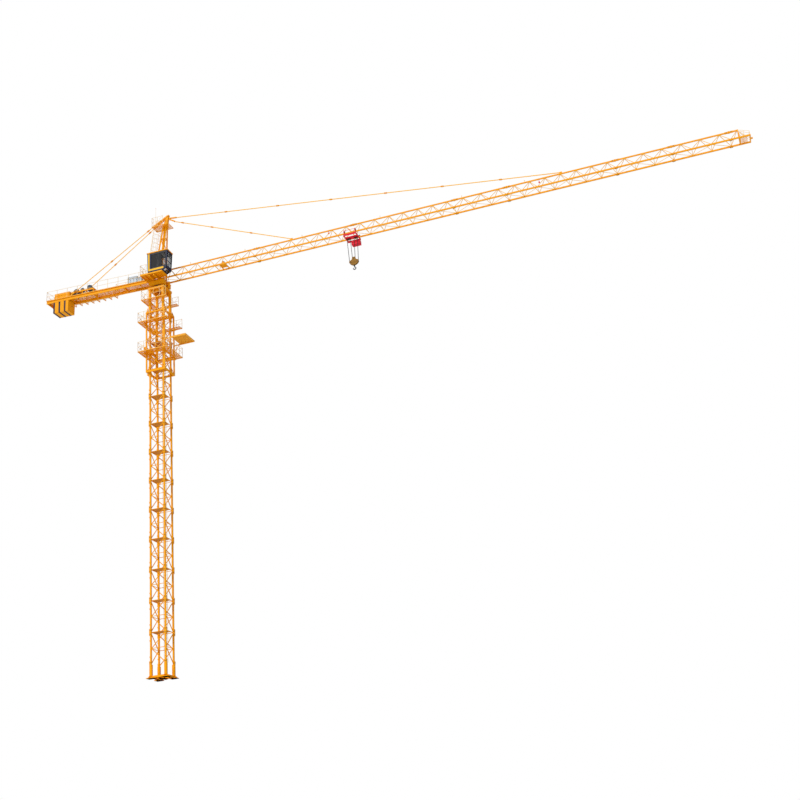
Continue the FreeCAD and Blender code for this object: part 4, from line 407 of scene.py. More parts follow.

# painted areas: ballast stripes, and on the cab its yellow border, dark wall, orange roof and a pale lining
# that paints light inside
ballastStripes = [(navy, (("X", x - 0.048, x + 0.048), ("Z", 0.0, jibZ + 0.11)))
                  for x in (-5.80, -5.495, -5.19)]
cabBack, cabNear, cabFar = -0.18, -0.9, -0.35
cabFloor, cabRoof = jibZ + 0.1, jibZ + 1.165
cabSkin = ("Y", cabNear - 0.01, cabNear + 0.01)
cabMarks = [
    (yellow, (("X", cabBack + 0.035, cabBack + 0.105), ("Z", cabFloor + 0.10, cabRoof - 0.01), cabSkin)),
    (yellow, (("X", cabBack + 0.035, cabBack + 0.86), ("Z", cabFloor + 0.085, cabFloor + 0.185), cabSkin)),
    (charcoal, (("X", cabBack + 0.26, cabBack + 1.0), ("Z", cabFloor + 0.20, cabRoof - 0.01))),
    # painted light: a pale lining inside the cab, which makes the clear glass look bright
    (paintedLightLining, (("X", cabBack + 0.02, cabBack + 0.75), ("Y", cabNear + 0.014, cabFar - 0.014),
              ("Z", cabFloor + 0.014, cabRoof - 0.016))),
    (orangeLook["colour"], (("Z", cabRoof - 0.002, cabRoof + 0.2),))]
finish = {
    "crane_paint": paintMaterial("cranePaint", orangeLook),
    "pale_paint": paintMaterial("palePaint", paleLook),
    "dark_grating": paintMaterial("restPlatePaint", gratingLook),
    "trolley_paint": paintMaterial("trolleyPaint", trolleyLook),
    "block_paint": paintMaterial("blockPaint", blockLook),
    "machine_paint": paintMaterial("machinePaint", machineLook),
    "cabinet_paint": paintMaterial("cabinetPaint", cabinetLook),
    "cab_paint": paintMaterial("cabPaint", cabLook, cabMarks),
    "dark_steel": steelMaterial("darkSteel", darkSteelLook),
    "rope_steel": steelMaterial("ropeSteel", ropeLook),
}
tiePaint = paintMaterial("tieBarPaint", tieLook)
boardPaint = paintMaterial("boardPaint", boardLook)
gasketPaint = paintMaterial("gasketRubber", gasketLook)
weightPaint = paintMaterial("ballastPaint", dict(orangeLook, fading=0.25), ballastStripes)
bareRace = (darkSteelLook["colour"], (("Z", jibZ - 0.441, jibZ),))
ringPaint = paintMaterial("seatRingPaint", orangeLook, [bareRace])


def glassMaterial(name, tint, stain, clearness):
    # cab glass, with rain marks in its gloss
    material, tree, shader, place = newMaterial(name)
    marks = noiseMask(tree, stretched(tree, place, (14, 14, 2.5)), 1.0, 3.0, (0.5, 0.8))
    rough = mathNode(tree, "ADD", mathNode(tree, "MULTIPLY", marks, 0.1), 0.05)
    feed(tree, shader, {"Base Color": mixColour(tree, marks, tint, stain), "Roughness": rough,
                        "Transmission Weight": clearness, "IOR": 1.45})
    return material


finish["cab_glass"] = glassMaterial("smokedGlass", (0.030, 0.030, 0.032, 1), (0.05, 0.05, 0.05, 1), 0.1)
clearGlass = glassMaterial("clearGlass", (0.90, 0.92, 0.93, 1), (0.80, 0.82, 0.83, 1), 1.0)

# nodes whose visible paint differs from the rest of their slot
nodePaint = {"counterweights": weightPaint, "slewing_ring_lower": ringPaint, "jib_pendants": tiePaint,
             "slewing_motors": finish["crane_paint"], "counter_ties": tiePaint}
for part in record["subparts"]:
    node = frame["nodes"][part["node"]]
    node.data.materials.clear()
    node.data.materials.append(nodePaint.get(part["node"], finish[part["material_slot"]]))
print("stage: finishes")


# working steps

def clearSelection():
    if bpy.context.object and bpy.context.object.mode != "OBJECT":
        bpy.ops.object.mode_set(mode="OBJECT")
    bpy.ops.object.select_all(action="DESELECT")


def takeUp(piece):
    # selects one piece and makes it active
    clearSelection()
    piece.select_set(True)
    bpy.context.view_layer.objects.active = piece


def openMesh():
    bpy.ops.object.mode_set(mode="EDIT")
    bpy.ops.mesh.select_mode(type="FACE")
    bpy.ops.mesh.select_all(action="SELECT")


def facing(axis, way=0):
    # a test for faces that look along an axis, either way or one way only
    def test(face):
        along = face.normal["XYZ".index(axis)]
        return along * way > 0.9 if way else abs(along) > 0.9
    return test


def pickFaces(test):
    mesh = bmesh.from_edit_mesh(bpy.context.object.data)
    for face in mesh.faces:
        face.select_set(bool(test(face)))
    mesh.select_flush_mode()
    bmesh.update_edit_mesh(bpy.context.object.data)


def extrudeBy(shift):
    bpy.ops.mesh.extrude_region_move(TRANSFORM_OT_translate={"value": shift})


def alongMatrix(start, end):
    run = Vector(end) - Vector(start)
    turn = run.to_track_quat("Z", "Y").to_matrix().to_4x4()
    return Matrix.Translation(start) @ turn @ Matrix.Diagonal((1, 1, run.length, 1))


def newTurned(profile, sides=12):
    # a turned part along Z: its first disc is drawn out and resized at each step of (height, radius)
    clearSelection()
    height, radius = profile[0]
    bpy.ops.mesh.primitive_circle_add(vertices=sides, radius=radius, fill_type="NGON", location=(0, 0, 0))
    turned = bpy.context.object
    openMesh()
    bpy.ops.transform.translate(value=(0, 0, height))
    for nextHeight, nextRadius in profile[1:]:
        extrudeBy((0, 0, nextHeight - height))
        grow = nextRadius / radius
        if abs(grow - 1) > 1e-6:
            bpy.ops.transform.resize(value=(grow, grow, 1), center_override=(0, 0, nextHeight))
        height, radius = nextHeight, nextRadius
    bpy.ops.mesh.select_all(action="SELECT")
    bpy.ops.mesh.normals_make_consistent(inside=False)
    bpy.ops.object.mode_set(mode="OBJECT")
    return turned


def newBrace(radius, sides=8, collar=1.25):
    # one brace, a metre long, with a weld collar at each end
    return newTurned([(0, radius * collar), (0.012, radius * collar), (0.024, radius), (0.976, radius),
                      (0.988, radius * collar), (1, radius * collar)], sides)


def newBlock(low, high, edge=0.004):
    # a block with eased edges
    clearSelection()
    low, high = Vector(low), Vector(high)
    bpy.ops.mesh.primitive_cube_add(size=1, location=(low + high) / 2, scale=high - low)
    block = bpy.context.object
    bpy.ops.object.transform_apply(location=True, rotation=True, scale=True)
    if edge:
        openMesh()
        bpy.ops.mesh.bevel(offset=edge, offset_type="OFFSET", segments=2, affect="EDGES")
        bpy.ops.object.mode_set(mode="OBJECT")
    return block


def sinkFaces(block, test, margin, depth):
    # insets the faces that the test picks and presses them in (or draws them out, for a negative depth)
    takeUp(block)
    openMesh()
    pickFaces(test)
    bpy.ops.mesh.inset(thickness=margin, depth=0, use_individual=True)
    bpy.ops.mesh.inset(thickness=margin * 0.15, depth=-depth, use_individual=True)
    bpy.ops.object.mode_set(mode="OBJECT")
    return block


def closeMesh():
    # turns every face outwards and leaves the mesh
    bpy.ops.mesh.select_all(action="SELECT")
    bpy.ops.mesh.normals_make_consistent(inside=False)
    bpy.ops.object.mode_set(mode="OBJECT")


def joinAll(parts):
    clearSelection()
    for part in parts:
        part.select_set(True)
    bpy.context.view_layer.objects.active = parts[0]
    if len(parts) > 1:
        bpy.ops.object.join()
    bpy.ops.object.transform_apply(location=True, rotation=True, scale=True)
    return bpy.context.object


def placed(part, matrix):
    part.matrix_world = matrix
    return joinAll([part])


def copyTo(source, places):
    # one copy of a modelled part at each place, each with its own mesh, joined as one
    copies = []
    for place in places:
        twin = source.copy()
        twin.data = source.data.copy()
        bpy.context.collection.objects.link(twin)
        twin.matrix_world = place @ source.matrix_world
        copies.append(twin)
    bpy.data.objects.remove(source, do_unlink=True)
    return joinAll(copies)


def braceRun(spans, radius, sides=8, collar=1.25):
    return copyTo(newBrace(radius, sides, collar), [alongMatrix(a, b) for a, b in spans])


def finishPiece(piece, name, body, slot, material=None, standsFor=(), smooth=True):
    piece.name = name
    piece.data.name = name
    if smooth:
        takeUp(piece)
        bpy.ops.object.shade_smooth_by_angle(angle=math.radians(35))
    piece.data.materials.clear()
    piece.data.materials.append(material or finish[slot])
    if standsFor:
        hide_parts(*standsFor)
    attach(piece, body)
    return piece


# mast lattice

mastTube = {"radius": 0.0205, "ring": 0.014, "sides": 8, "reach": mastHalf - 0.034, "clear": 0.05}


def sideSpan(quarter, start, end):
    # a span drawn on the near side and turned to another one
    return quarter @ Vector(start), quarter @ Vector(end)


def buildMastLattice(look):
    # each side, seen from outside, runs from the right post down to the left one and back in each section
    slants, rings = [], []
    reach, clear = look["reach"], look["clear"]
    for quarter in quarters:
        for i in range(sectionCount):
            low = mastFoot + i * sectionRise
            middle, high = low + sectionRise / 2, low + sectionRise
            left = (-reach, -mastHalf, middle)
            slants += [sideSpan(quarter, (reach, -mastHalf, high - clear), left),
                       sideSpan(quarter, left, (reach, -mastHalf, low + clear))]
            for z in (middle, high):
                rings.append(sideSpan(quarter, (-reach, -mastHalf, z), (reach, -mastHalf, z)))
    slantTubes = braceRun(slants, look["radius"], look["sides"])
    ringTubes = braceRun(rings, look["ring"], look["sides"])
    finishPiece(joinAll([slantTubes, ringTubes]), "mastLattice", "tower", "crane_paint",
                standsFor=["mast_bracing_near", "mast_bracing_front", "mast_bracing_far",
                           "mast_bracing_back"])


# jib lattice: long sections of 5 m in 7 bays and short ones of 2.5 m in 3

jibSections = "LLLSLSS"
jibTube = {"radius": 0.0125, "bottom": 0.0095, "sides": 8, "inset": 0.01, "lift": 0.02, "headY": 0.016,
           "nose": 0.36, "inner": jibHalf - 0.03}


def jibPoints():
    points, joints = [jibStart], [jibStart]
    for kind in jibSections:
        length, count = (5.0, 7) if kind == "L" else (2.5, 3)
        start = joints[-1]
        points += [start + length * (i + 1) / count for i in range(count)]
        joints.append(start + length)
    return points, joints


def buildJibLattice(look):
    points, _ = jibPoints()
    end = points[-1] + look["nose"]
    tops = [(a + b) / 2 for a, b in zip(points, points[1:])] + [end - 0.02]
    spans = []
    for side in (-1, 1):
        feet = [(x, side * (jibHalf - look["inset"]), jibZ + look["lift"]) for x in points]
        heads = [(x, side * look["headY"], jibZ + jibRise - look["lift"]) for x in tops]
        for a, b, top in zip(feet, feet[1:], heads):
            spans += [(a, top), (top, b)]
        spans.append((feet[-1], heads[-1]))
    sides = braceRun(spans, look["radius"], look["sides"])
    finishPiece(sides, "jibSideLattice", "slewing_top", "crane_paint", tiePaint,
                standsFor=["jib_near_bracing", "jib_far_bracing"])
    inner, flats = look["inner"], []
    for i, (a, b) in enumerate(zip(points, points[1:])):
        reach = inner * (-1) ** i
        flats += [((a, -inner, jibZ), (a, inner, jibZ)), ((a, -reach, jibZ), (b, reach, jibZ))]
    flats += [((x, -inner, jibZ), (x, inner, jibZ)) for x in (points[-1], end)]
    bottom = braceRun(flats, look["bottom"], look["sides"])
    finishPiece(bottom, "jibBottomLattice", "slewing_top", "crane_paint", tiePaint,
                standsFor=["jib_bottom_bracing"])


# hoist ropes: four falls between the trolley and the block

ropeFalls = {"radius": 0.0135, "sides": 8, "trolleyX": 10.15, "topReach": (0.2626, 0.0974),
             "footReach": (0.2176, 0.0676), "topZ": jibZ - 0.12, "footZ": (jibZ - 1.435, jibZ - 1.255)}


def buildRopes(look):
    falls = []
    for side in (-1, 1):
        for topReach, footReach, footZ in zip(look["topReach"], look["footReach"], look["footZ"]):
            falls.append(((look["trolleyX"] + side * footReach, 0, footZ),
                          (look["trolleyX"] + side * topReach, 0, look["topZ"])))
    ropes = copyTo(newTurned([(0, look["radius"]), (1, look["radius"])], look["sides"]),
                   [alongMatrix(a, b) for a, b in falls])
    ropes.name = "hoistFalls"
    ropes.data.materials.append(finish["rope_steel"])
    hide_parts("hoist_ropes")
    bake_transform(ropes)


buildMastLattice(mastTube)
print("stage: mast lattice")
buildJibLattice(jibTube)
print("stage: jib lattice")
buildRopes(ropeFalls)
print("stage: ropes")


# rails, ladders and the cage

railLook = {"radius": 0.0085, "brace": 0.0055, "height": 0.52, "pitch": 0.33, "counterPitch": 0.56,
            "sides": 8}


def newBar(start, end, width, depth, edge=0.004):
    # a flat bar with eased edges from start to end
    run = Vector(end) - Vector(start)
    bar = newBlock((0, -width / 2, -depth / 2), (run.length, width / 2, depth / 2), edge)
    return placed(bar, Matrix.Translation(start) @ run.to_track_quat("X", "Z").to_matrix().to_4x4())


def between(a, b, share):
    return Vector(a).lerp(Vector(b), share)


def railSpans(corners, z, pitch, height):
    # level rails at the foot, the middle and the top, and upright posts, along a row of corners
    rails, posts = [], []
    for (ax, ay), (bx, by) in zip(corners, corners[1:]):
        for lift in (0.014, height / 2, height - 0.01):
            rails.append(((ax, ay, z + lift), (bx, by, z + lift)))
        count = max(1, round(math.hypot(bx - ax, by - ay) / pitch))
        for i in range(count + 1):
            x, y = ax + (bx - ax) * i / count, ay + (by - ay) * i / count
            posts.append(((x, y, z), (x, y, z + height - 0.01)))
    return rails, posts


def crossSpans(corners, z, height):
    # the thin crossed braces of a railing's long sides
    spans, low, high = [], z + 0.02, z + height - 0.02
    for (ax, ay), (bx, by) in zip(corners, corners[1:]):
        spans += [((ax, ay, low), (bx, by, high)), ((ax, ay, high), (bx, by, low))]
    return spans


def buildRailing(look, runs, crosses, name, body, replaced, pitch=None, place=None):
    rails, posts, braces = [], [], []
    for corners, z in runs:
        level, upright = railSpans(corners, z, pitch or look["pitch"], look["height"])
        rails += level
        posts += upright
    for corners, z in crosses:
        braces += crossSpans(corners, z, look["height"])
    # a flanged foot goes under every post
    foot = newTurned([(0, 0.017), (0.004, 0.017), (0.005, 0.0115), (0.014, 0.0115)], 8)
    parts = [braceRun(rails, look["radius"] * 0.85, look["sides"], 1.15),
             braceRun(posts, look["radius"], look["sides"], 1.3), braceRun(braces, look["brace"], 6, 1.3),
             copyTo(foot, [moveTo(*start) for start, _ in posts])]
    railing = placed(joinAll(parts), place or Matrix())
    return finishPiece(railing, name, body, "pale_paint", standsFor=replaced)


def square(half, front=False):
    corners = [(half, -half), (-half, -half), (-half, half), (half, half)]
    return corners + corners[:1] if front else corners


supportHalf, cageWalkHalf = 0.675 - 0.012, 0.79 - 0.012      # to the middle of the rails
deckLevels = {"support": mastTop + 0.874, "upper": mastTop - 0.356, "lower": mastTop - 1.946}


def buildPlatformRails(look):
    runs = [(square(supportHalf), deckLevels["support"]), (square(cageWalkHalf), deckLevels["upper"]),
            (square(cageWalkHalf, True), deckLevels["lower"])]
    crosses = []
    for half, level in ((supportHalf, "support"), (cageWalkHalf, "upper"), (cageWalkHalf, "lower")):
        for side in (-1, 1):
            for a, b in ((-half, -half / 3), (half / 3, half)):
                crosses.append(([(a, side * half), (b, side * half)], deckLevels[level]))
                crosses.append(([(-half, a * side), (-half, b * side)], deckLevels[level]))
    buildRailing(look, runs, crosses, "platformRailings", "tower", ["platform_rails"])


counterRails = {"edge": 0.318, "walkEdge": 0.618, "start": -0.424, "end": -6.238, "walkStart": -2.66,
                "walkEnd": -5.14}


def buildCounterRails(look, size):
    edge, walkEdge, start, end = size["edge"], size["walkEdge"], size["start"], size["end"]
    near, far = size["walkStart"], size["walkEnd"]
    corners = [(start, -edge), (end, -edge), (end, edge), (far, edge), (far, walkEdge), (near, walkEdge),
               (near, edge), (start, edge)]
    crosses = [([(end, -edge), (end, edge)], deckTop)]
    buildRailing(look, [(corners, deckTop)], crosses, "counterJibRailings", "slewing_top", ["counter_rails"],
                 look["counterPitch"], rake)


def buildCabRails(look):
    near, back, front, far = -0.9, -0.588, -0.242, -0.358
    corners = [(front, near), (back, near), (back, far)]
    crosses = [(corners[:2], cabFloor), (corners[1:], cabFloor)]
    buildRailing(look, [(corners, cabFloor)], crosses, "cabDeckRailings", "slewing_top", ["cab_rails"])


headRails = {"level": jibZ + 3.104, "front": 0.328, "back": -0.278, "half": 0.27, "gate": 0.142, "pitch": 0.3,
             "rodX": -0.06, "rodHeight": 1.02}


def buildHeadRails(look, size):
    level, front, back, half = size["level"], size["front"], size["back"], size["half"]
    near = [(front, -half), (back, -half), (back, -size["gate"])]
    far = [(back, size["gate"]), (back, half), (front, half)]
    crosses = [([(front, y), (back, y)], level) for y in (-half, half)]
    buildRailing(look, [(near, level), (far, level)], crosses, "headRailings", "slewing_top", ["head_rails"],
                 size["pitch"])
    # the aerial: a stepped rod with a red lamp at its top
    rod = newTurned([(0, 0.0075), (0.55, 0.0075), (0.56, 0.0055), (size["rodHeight"], 0.0045)], 8)
    foot = moveTo(size["rodX"], -half, level)
    finishPiece(placed(rod, foot), "aerialRod", "slewing_top", "pale_paint")
    lamp = newTurned([(0, 0.006), (0.002, 0.0075), (0.028, 0.0075), (0.036, 0.005), (0.039, 0.002)], 12)
    lamp = placed(lamp, foot @ moveTo(0, 0, size["rodHeight"]))
    finishPiece(lamp, "aerialLamp", "slewing_top", "trolley_paint")


def newHoop(radius, thickness, arc=200.0, steps=14, profileSides=6):
    # part of a round hoop about Z, open towards +Y
    clearSelection()
    bpy.ops.mesh.primitive_circle_add(vertices=profileSides, radius=thickness, fill_type="NGON",
                                      location=(radius, 0, 0), rotation=(math.radians(90), 0, 0))
    hoop = bpy.context.object
    bpy.ops.object.transform_apply(location=True, rotation=True, scale=True)
    openMesh()
    bpy.ops.mesh.spin(steps=steps, angle=math.radians(arc), center=(0, 0, 0), axis=(0, 0, 1))
    bpy.ops.mesh.select_all(action="SELECT")
    bpy.ops.mesh.remove_doubles(threshold=1e-5)
    closeMesh()
    return placed(hoop, turnAbout("Z", 180 - (arc - 180) / 2))


ladderLook = {"rail": 0.009, "rung": 0.0062, "hoop": 0.006, "pitch": 0.15, "half": 0.091, "headHalf": 0.1,
              "backHoop": 0.118, "headHoop": 0.18}


def ladderParts(look, rails, rungs, arms):
    return [braceRun(rails, look["rail"], 8, 1.0), braceRun(rungs, look["rung"], 6, 1.3),
            braceRun(arms, look["rung"], 6, 1.2)]


def buildMastLadder(look):
    y, half = mastHalf - 0.021, look["half"]
    low, high = mastFoot + 0.15, mastTop - 0.15
    count = round((high - low) / look["pitch"])
    rails = [((x, y, low - 0.012), (x, y, high + 0.012)) for x in (-half, half)]
    levels = [low + (high - low) * i / count for i in range(count + 1)]
    rungs = [((-half, y, z), (half, y, z)) for z in levels]
    # brackets back to the mast's far lattice, two in each section
    arms = []
    for i in range(sectionCount * 2):
        z = mastFoot + (i + 0.5) * sectionRise / 2
        arms += [((x, y, z), (x, mastHalf, z)) for x in (-half, half)]
    # back hoops in the top sections, clear of the rest plates
    hoops = [moveTo(0, y - 0.02, mastTop - 0.2 - 0.35 * i) for i in range(12)]
    parts = ladderParts(look, rails, rungs, arms) + [copyTo(newHoop(look["backHoop"], look["hoop"]), hoops)]
    finishPiece(joinAll(parts), "mastClimbingLadder", "tower", "pale_paint", standsFor=["mast_ladder"])


headLegFoot, headLegNeck = Vector((-0.2, 0, 0.0303)), Vector((0.25, 0, 3.06))


def rearLegAt(rise):
    share = (rise - headLegFoot.z) / (headLegNeck.z - headLegFoot.z)
    point = headLegFoot.lerp(headLegNeck, share)
    return Vector((point.x, 0, jibZ + rise))


def buildHeadLadder(look):
    low, high = rearLegAt(0.1153), rearLegAt(3.08)
    back = Vector((-0.19, 0, 0))
    count = round((high - low).length / look["pitch"])
    sides = [Vector((0, y, 0)) for y in (-look["headHalf"], look["headHalf"])]
    rails = [(low + back + side, high + back + side) for side in sides]
    rungs = [tuple(between(low, high, i / count) + back + side for side in sides) for i in range(1, count)]
    arms = []
    for share in (0.3, 0.55):
        leg = rearLegAt(headLegFoot.z + (headLegNeck.z - headLegFoot.z) * share)
        arms += [(leg + back + side, leg + Vector((-0.02, 0, 0)) + side) for side in sides]
    spots = [between(low, high, 0.46 + 0.08 * i) + back + Vector((-0.19, 0, 0)) for i in range(7)]
    hoop = newHoop(look["headHoop"], look["hoop"], 290, 20)
    hoops = copyTo(hoop, [Matrix.Translation(spot) @ turnAbout("Z", -90) for spot in spots])
    straps = []
    for angle in map(math.radians, (-110, -145, -180, -215, -250)):
        reach = Vector((math.cos(angle), math.sin(angle), 0)) * look["headHoop"]
        straps.append((spots[0] + reach, spots[-1] + reach))
    parts = ladderParts(look, rails, rungs, arms) + [hoops, braceRun(straps, look["hoop"], 6, 1.0)]
    finishPiece(joinAll(parts), "headClimbingLadder", "slewing_top", "pale_paint", standsFor=["head_ladder"])


cageTube = {"radius": 0.0135, "seatTube": 0.017, "sides": 8, "plane": 0.478, "reach": 0.445, "apart": 0.007,
            "seatReach": 0.31, "seatApart": 0.018}


def buildCageLattice(look):
    # crossed tubes on each side; the jib side is open above the waist
    bottom, waist, top = mastTop - 2.89, mastTop - 1.97, mastTop + 0.17
    reach, plane, apart = look["reach"], look["plane"], look["apart"]
    spans = []
    for quarter in quarters:
        for low, high, bays in ((bottom, waist - 0.03, 1), (waist + 0.03, top, 3)):
            if quarter is quarters[1] and high > waist:
                continue
            levels = [low + (high - low) * i / bays for i in range(bays + 1)]
            for i, (a, b) in enumerate(zip(levels, levels[1:])):
                for side in (-1, 1):
                    y = -plane + side * apart
                    spans.append(sideSpan(quarter, (side * reach, y, a), (-side * reach, y, b)))
                if i:
                    spans.append(sideSpan(quarter, (-reach, -plane, a), (reach, -plane, a)))
    finishPiece(braceRun(spans, look["radius"], look["sides"]), "cageLattice", "tower", "crane_paint",
                standsFor=["cage_bracing"])
    # crossed tubes between the seat's legs, below the support platform
    spans, low, high, reach = [], mastTop + 0.07, mastTop + 0.83, look["seatReach"]
    for quarter in quarters:
        for side in (-1, 1):
            y = -mastHalf + side * look["seatApart"]
            spans.append(sideSpan(quarter, (side * reach, y, low), (-side * reach, y, high)))
        spans.append(sideSpan(quarter, (-reach, -mastHalf, high), (reach, -mastHalf, high)))
    finishPiece(braceRun(spans, look["seatTube"], look["sides"]), "seatLattice", "tower", "crane_paint")


loadingLook = {"level": mastTop - 1.37, "start": 0.748, "end": 1.6, "half": 0.45, "overhang": 0.015,
               "board": 0.052, "gap": 0.021, "thickness": 0.014, "rail": 0.04, "depth": 0.05,
               "cage": 0.508, "propFoot": 0.36, "propEnd": 0.79, "prop": 0.024, "toe": 0.035}


def buildLoadingPlatform(look):
    # boards on two rails with props, and a toe strip along both edges
    level, start, end, half = look["level"], look["start"], look["end"], look["half"]
    pitch, reach, rail = look["board"] + look["gap"], half + look["overhang"], look["rail"] / 2
    top, cage = level + look["thickness"], look["cage"]
    board = newBlock((0, -reach, level), (look["board"], reach, top), 0.002)
    sinkFaces(board, facing("Z"), 0.008, 0.003)
    count = int((end - start) / pitch)
    parts = [copyTo(board, [moveTo(end - look["board"] - i * pitch, 0, 0) for i in range(count)])]
    for side in (-1, 1):
        y = side * half
        parts += [newBlock((cage, y - rail, level - look["depth"]), (end, y + rail, level)),
                  newBlock((cage, y - rail, level - 0.4), (cage + 0.016, y + rail, level - 0.04), 0.003),
                  newBar((cage + 0.004, y, level - look["propFoot"]), (look["propEnd"], y, level - 0.03),
                         look["prop"], look["prop"], 0.003),
                  newBlock((start, y + side * rail - 0.003, top - 0.002),
                           (end, y + side * rail + 0.003, level + look["toe"]), 0.001)]
    parts.append(newBlock((end - 0.03, -half, level - look["depth"]), (end, half, level - 0.002), 0.003))
    finishPiece(joinAll(parts), "loadingBoards", "tower", "crane_paint", boardPaint,
                standsFor=["loading_platform"], smooth=False)


# mast fittings

pinLook = {"head": 0.017, "length": 0.016, "lift": 0.085, "x": 0.367, "plane": -0.413}


def outwards(x, y, z, quarter):
    # a local frame whose Z points out of a mast side
    return quarter @ moveTo(x, y, z) @ turnAbout("X", 90)


def buildMastPins(look):
    # joint pins: two on the outer faces of every sleeve, each with a washer and a hexagonal head
    head, length = look["head"], look["length"]
    pin = newTurned([(0, head * 1.25), (0.003, head * 1.25), (0.0031, head), (length - 0.003, head),
                     (length, head * 0.8)], 6)
    places = []
    for quarter in quarters:
        for i in range(sectionCount + 1):
            joint = mastFoot + i * sectionRise
            for z in (joint - look["lift"], joint + look["lift"]):
                if mastFoot < z < mastTop:
                    places += [outwards(x, look["plane"], z, quarter) for x in (-look["x"], look["x"])]
    finishPiece(copyTo(pin, places), "mastJointPins", "tower", "dark_steel", smooth=False)


def buildMastSteps():
    # jacking steps on the posts' back, at a quarter and three quarters of each section
    step = newBlock((-0.413, -0.022, -0.045), (-0.386, 0.022, 0.02))
    sinkFaces(step, facing("X", -1), 0.008, 0.004)
    places = []
    for i in range(sectionCount):
        for share in (0.25, 0.75):
            places += [moveTo(0, y, mastFoot + (i + share) * sectionRise) for y in (-mastHalf, mastHalf)]
    finishPiece(copyTo(step, places), "mastJackingSteps", "tower", "crane_paint", smooth=False)


gussetLook = {"half": 0.004, "inner": 0.055, "outer": 0.155, "low": 0.024, "high": 0.115, "toe": 0.045,
              "apart": 0.03, "edge": 0.0012}


def buildFootGussets(look):
    # gusset plates that stiffen each foot beside its stub
    half, outer = look["half"], look["outer"]
    rib = newBlock((-half, look["inner"], look["low"]), (half, outer, look["high"]), 0)
    takeUp(rib)
    openMesh()
    bpy.ops.mesh.bisect(plane_co=(0, outer, look["toe"]), plane_no=(0, 0.1, 0.115), clear_outer=True,
                        use_fill=True)
    bpy.ops.mesh.select_all(action="SELECT")
    bpy.ops.mesh.bevel(offset=look["edge"], offset_type="OFFSET", segments=1, affect="EDGES")
    bpy.ops.object.mode_set(mode="OBJECT")
    places = []
    for sx in (-1, 1):
        for sy in (-1, 1):
            for angle in (-90 * sx, 0 if sy > 0 else 180):
                leg = moveTo(sx * mastHalf, sy * mastHalf, 0) @ turnAbout("Z", angle)
                places += [leg @ moveTo(side * look["apart"], 0, 0) for side in (-1, 1)]
    finishPiece(copyTo(rib, places), "footGussets", "tower", "crane_paint", smooth=False)


buildPlatformRails(railLook)
buildCounterRails(railLook, counterRails)
buildCabRails(railLook)
buildHeadRails(railLook, headRails)
print("stage: railings")
buildMastLadder(ladderLook)
buildHeadLadder(ladderLook)
print("stage: ladders")
buildCageLattice(cageTube)
buildLoadingPlatform(loadingLook)
buildMastPins(pinLook)
buildMastSteps()
buildFootGussets(gussetLook)
print("stage: cage lattice and mast fittings")


# tower head

def axesMatrix(origin, right, up):
    # a local frame: X to the right, Y up, Z out of the plane
    right, up = Vector(right).normalized(), Vector(up).normalized()
    return Matrix.Translation(Vector(origin)) @ Matrix((right, up, right.cross(up))).transposed().to_4x4()


def cutBlock(block, cuts):
    # trims a block by planes, each a point on the plane and its outward normal
    takeUp(block)
    openMesh()
    for point, normal in cuts:
        bpy.ops.mesh.select_all(action="SELECT")
        bpy.ops.mesh.bisect(plane_co=point, plane_no=normal, clear_outer=True, use_fill=True)
    closeMesh()
    return block


def acrossY(x, y, z, side=-1):
    # a turned part's axis laid along -Y, or along +Y for side 1, its foot at y
    return moveTo(x, y, z) @ turnAbout("X", -90 * side)


def newPin(radius, length, head=1.5):
    # a pin along Z with a chamfered cap at both ends
    cap, half = radius * head, length / 2
    step = 0.0002
    return newTurned([(-half - 0.012, cap * 0.8), (-half - 0.009, cap), (-half, cap), (-half + step, radius),
                      (half - step, radius), (half, cap), (half + 0.009, cap), (half + 0.012, cap * 0.8)], 12)


headLook = {"topZ": jibZ + 3.725, "neckZ": jibZ + 3.062, "tieEye": (-0.335, jibZ + 3.20),
            "pendantEyes": ((0.865, jibZ + 3.285), (0.965, jibZ + 3.485)), "link": 0.012}


def buildHeadPeak(look):
    neck, top = look["neckZ"], look["topZ"]
    height = top - neck
    peak = newBlock((0.2, -0.105, neck), (0.6, 0.105, top), 0)
    cutBlock(peak, [((0.218, 0, neck), (-height, 0, 0.222)), ((0.435, 0, neck), (height, 0, -0.115)),
                    ((0, 0.1, neck), (0, height, 0.052)), ((0, -0.1, neck), (0, -height, 0.052))])
    sinkFaces(peak, facing("Y"), 0.022, 0.012)
    endWall = facing("X")
    sinkFaces(peak, lambda face: endWall(face) and abs(face.normal.y) < 0.1 and face.calc_area() > 0.05,
              0.03, 0.010)
    parts = [peak, newBar((0.43, 0, top - 0.028), (0.56, 0, top - 0.028), 0.12, 0.05, 0.012)]
    # links back to the ties, and ears forward to the pendants
    tieX, tieZ = look["tieEye"]
    for x, drop, near, far, depth in ((0.47, 0.05, 0.055, 0.098, 0.075), (0.45, 0.06, 0.03, 0.052, 0.07)):
        parts += [newBar((x, side * near, top - drop), (tieX, side * far, tieZ), look["link"], depth, 0.003)
                  for side in (-1, 1)]
    for x, z in look["pendantEyes"]:
        parts += [newBar((0.44, side * 0.02, top - 0.17), (x, side * 0.02, z), 0.011, 0.062, 0.003)
                  for side in (-1, 1)]
    for share in (0.33, 0.66):
        middle = between((0.47, 0, top - 0.05), (tieX, 0, tieZ), share)
        reach = Vector((0, 0.09, 0))
        parts.append(newBar(middle - reach, middle + reach, 0.03, 0.03))
    finishPiece(joinAll(parts), "headPeakPlates", "slewing_top", "crane_paint", standsFor=["head_peak"],
                smooth=False)
    short = copyTo(newPin(0.015, 0.062), [acrossY(x - 0.03, 0, z) for x, z in look["pendantEyes"]])
    ends = [acrossY(0.497, 0, top - 0.06), acrossY(tieX + 0.017, 0, tieZ + 0.013)]
    wide = copyTo(newPin(0.022, 0.15), ends)
    finishPiece(joinAll([short, wide]), "headPins", "slewing_top", "crane_paint")


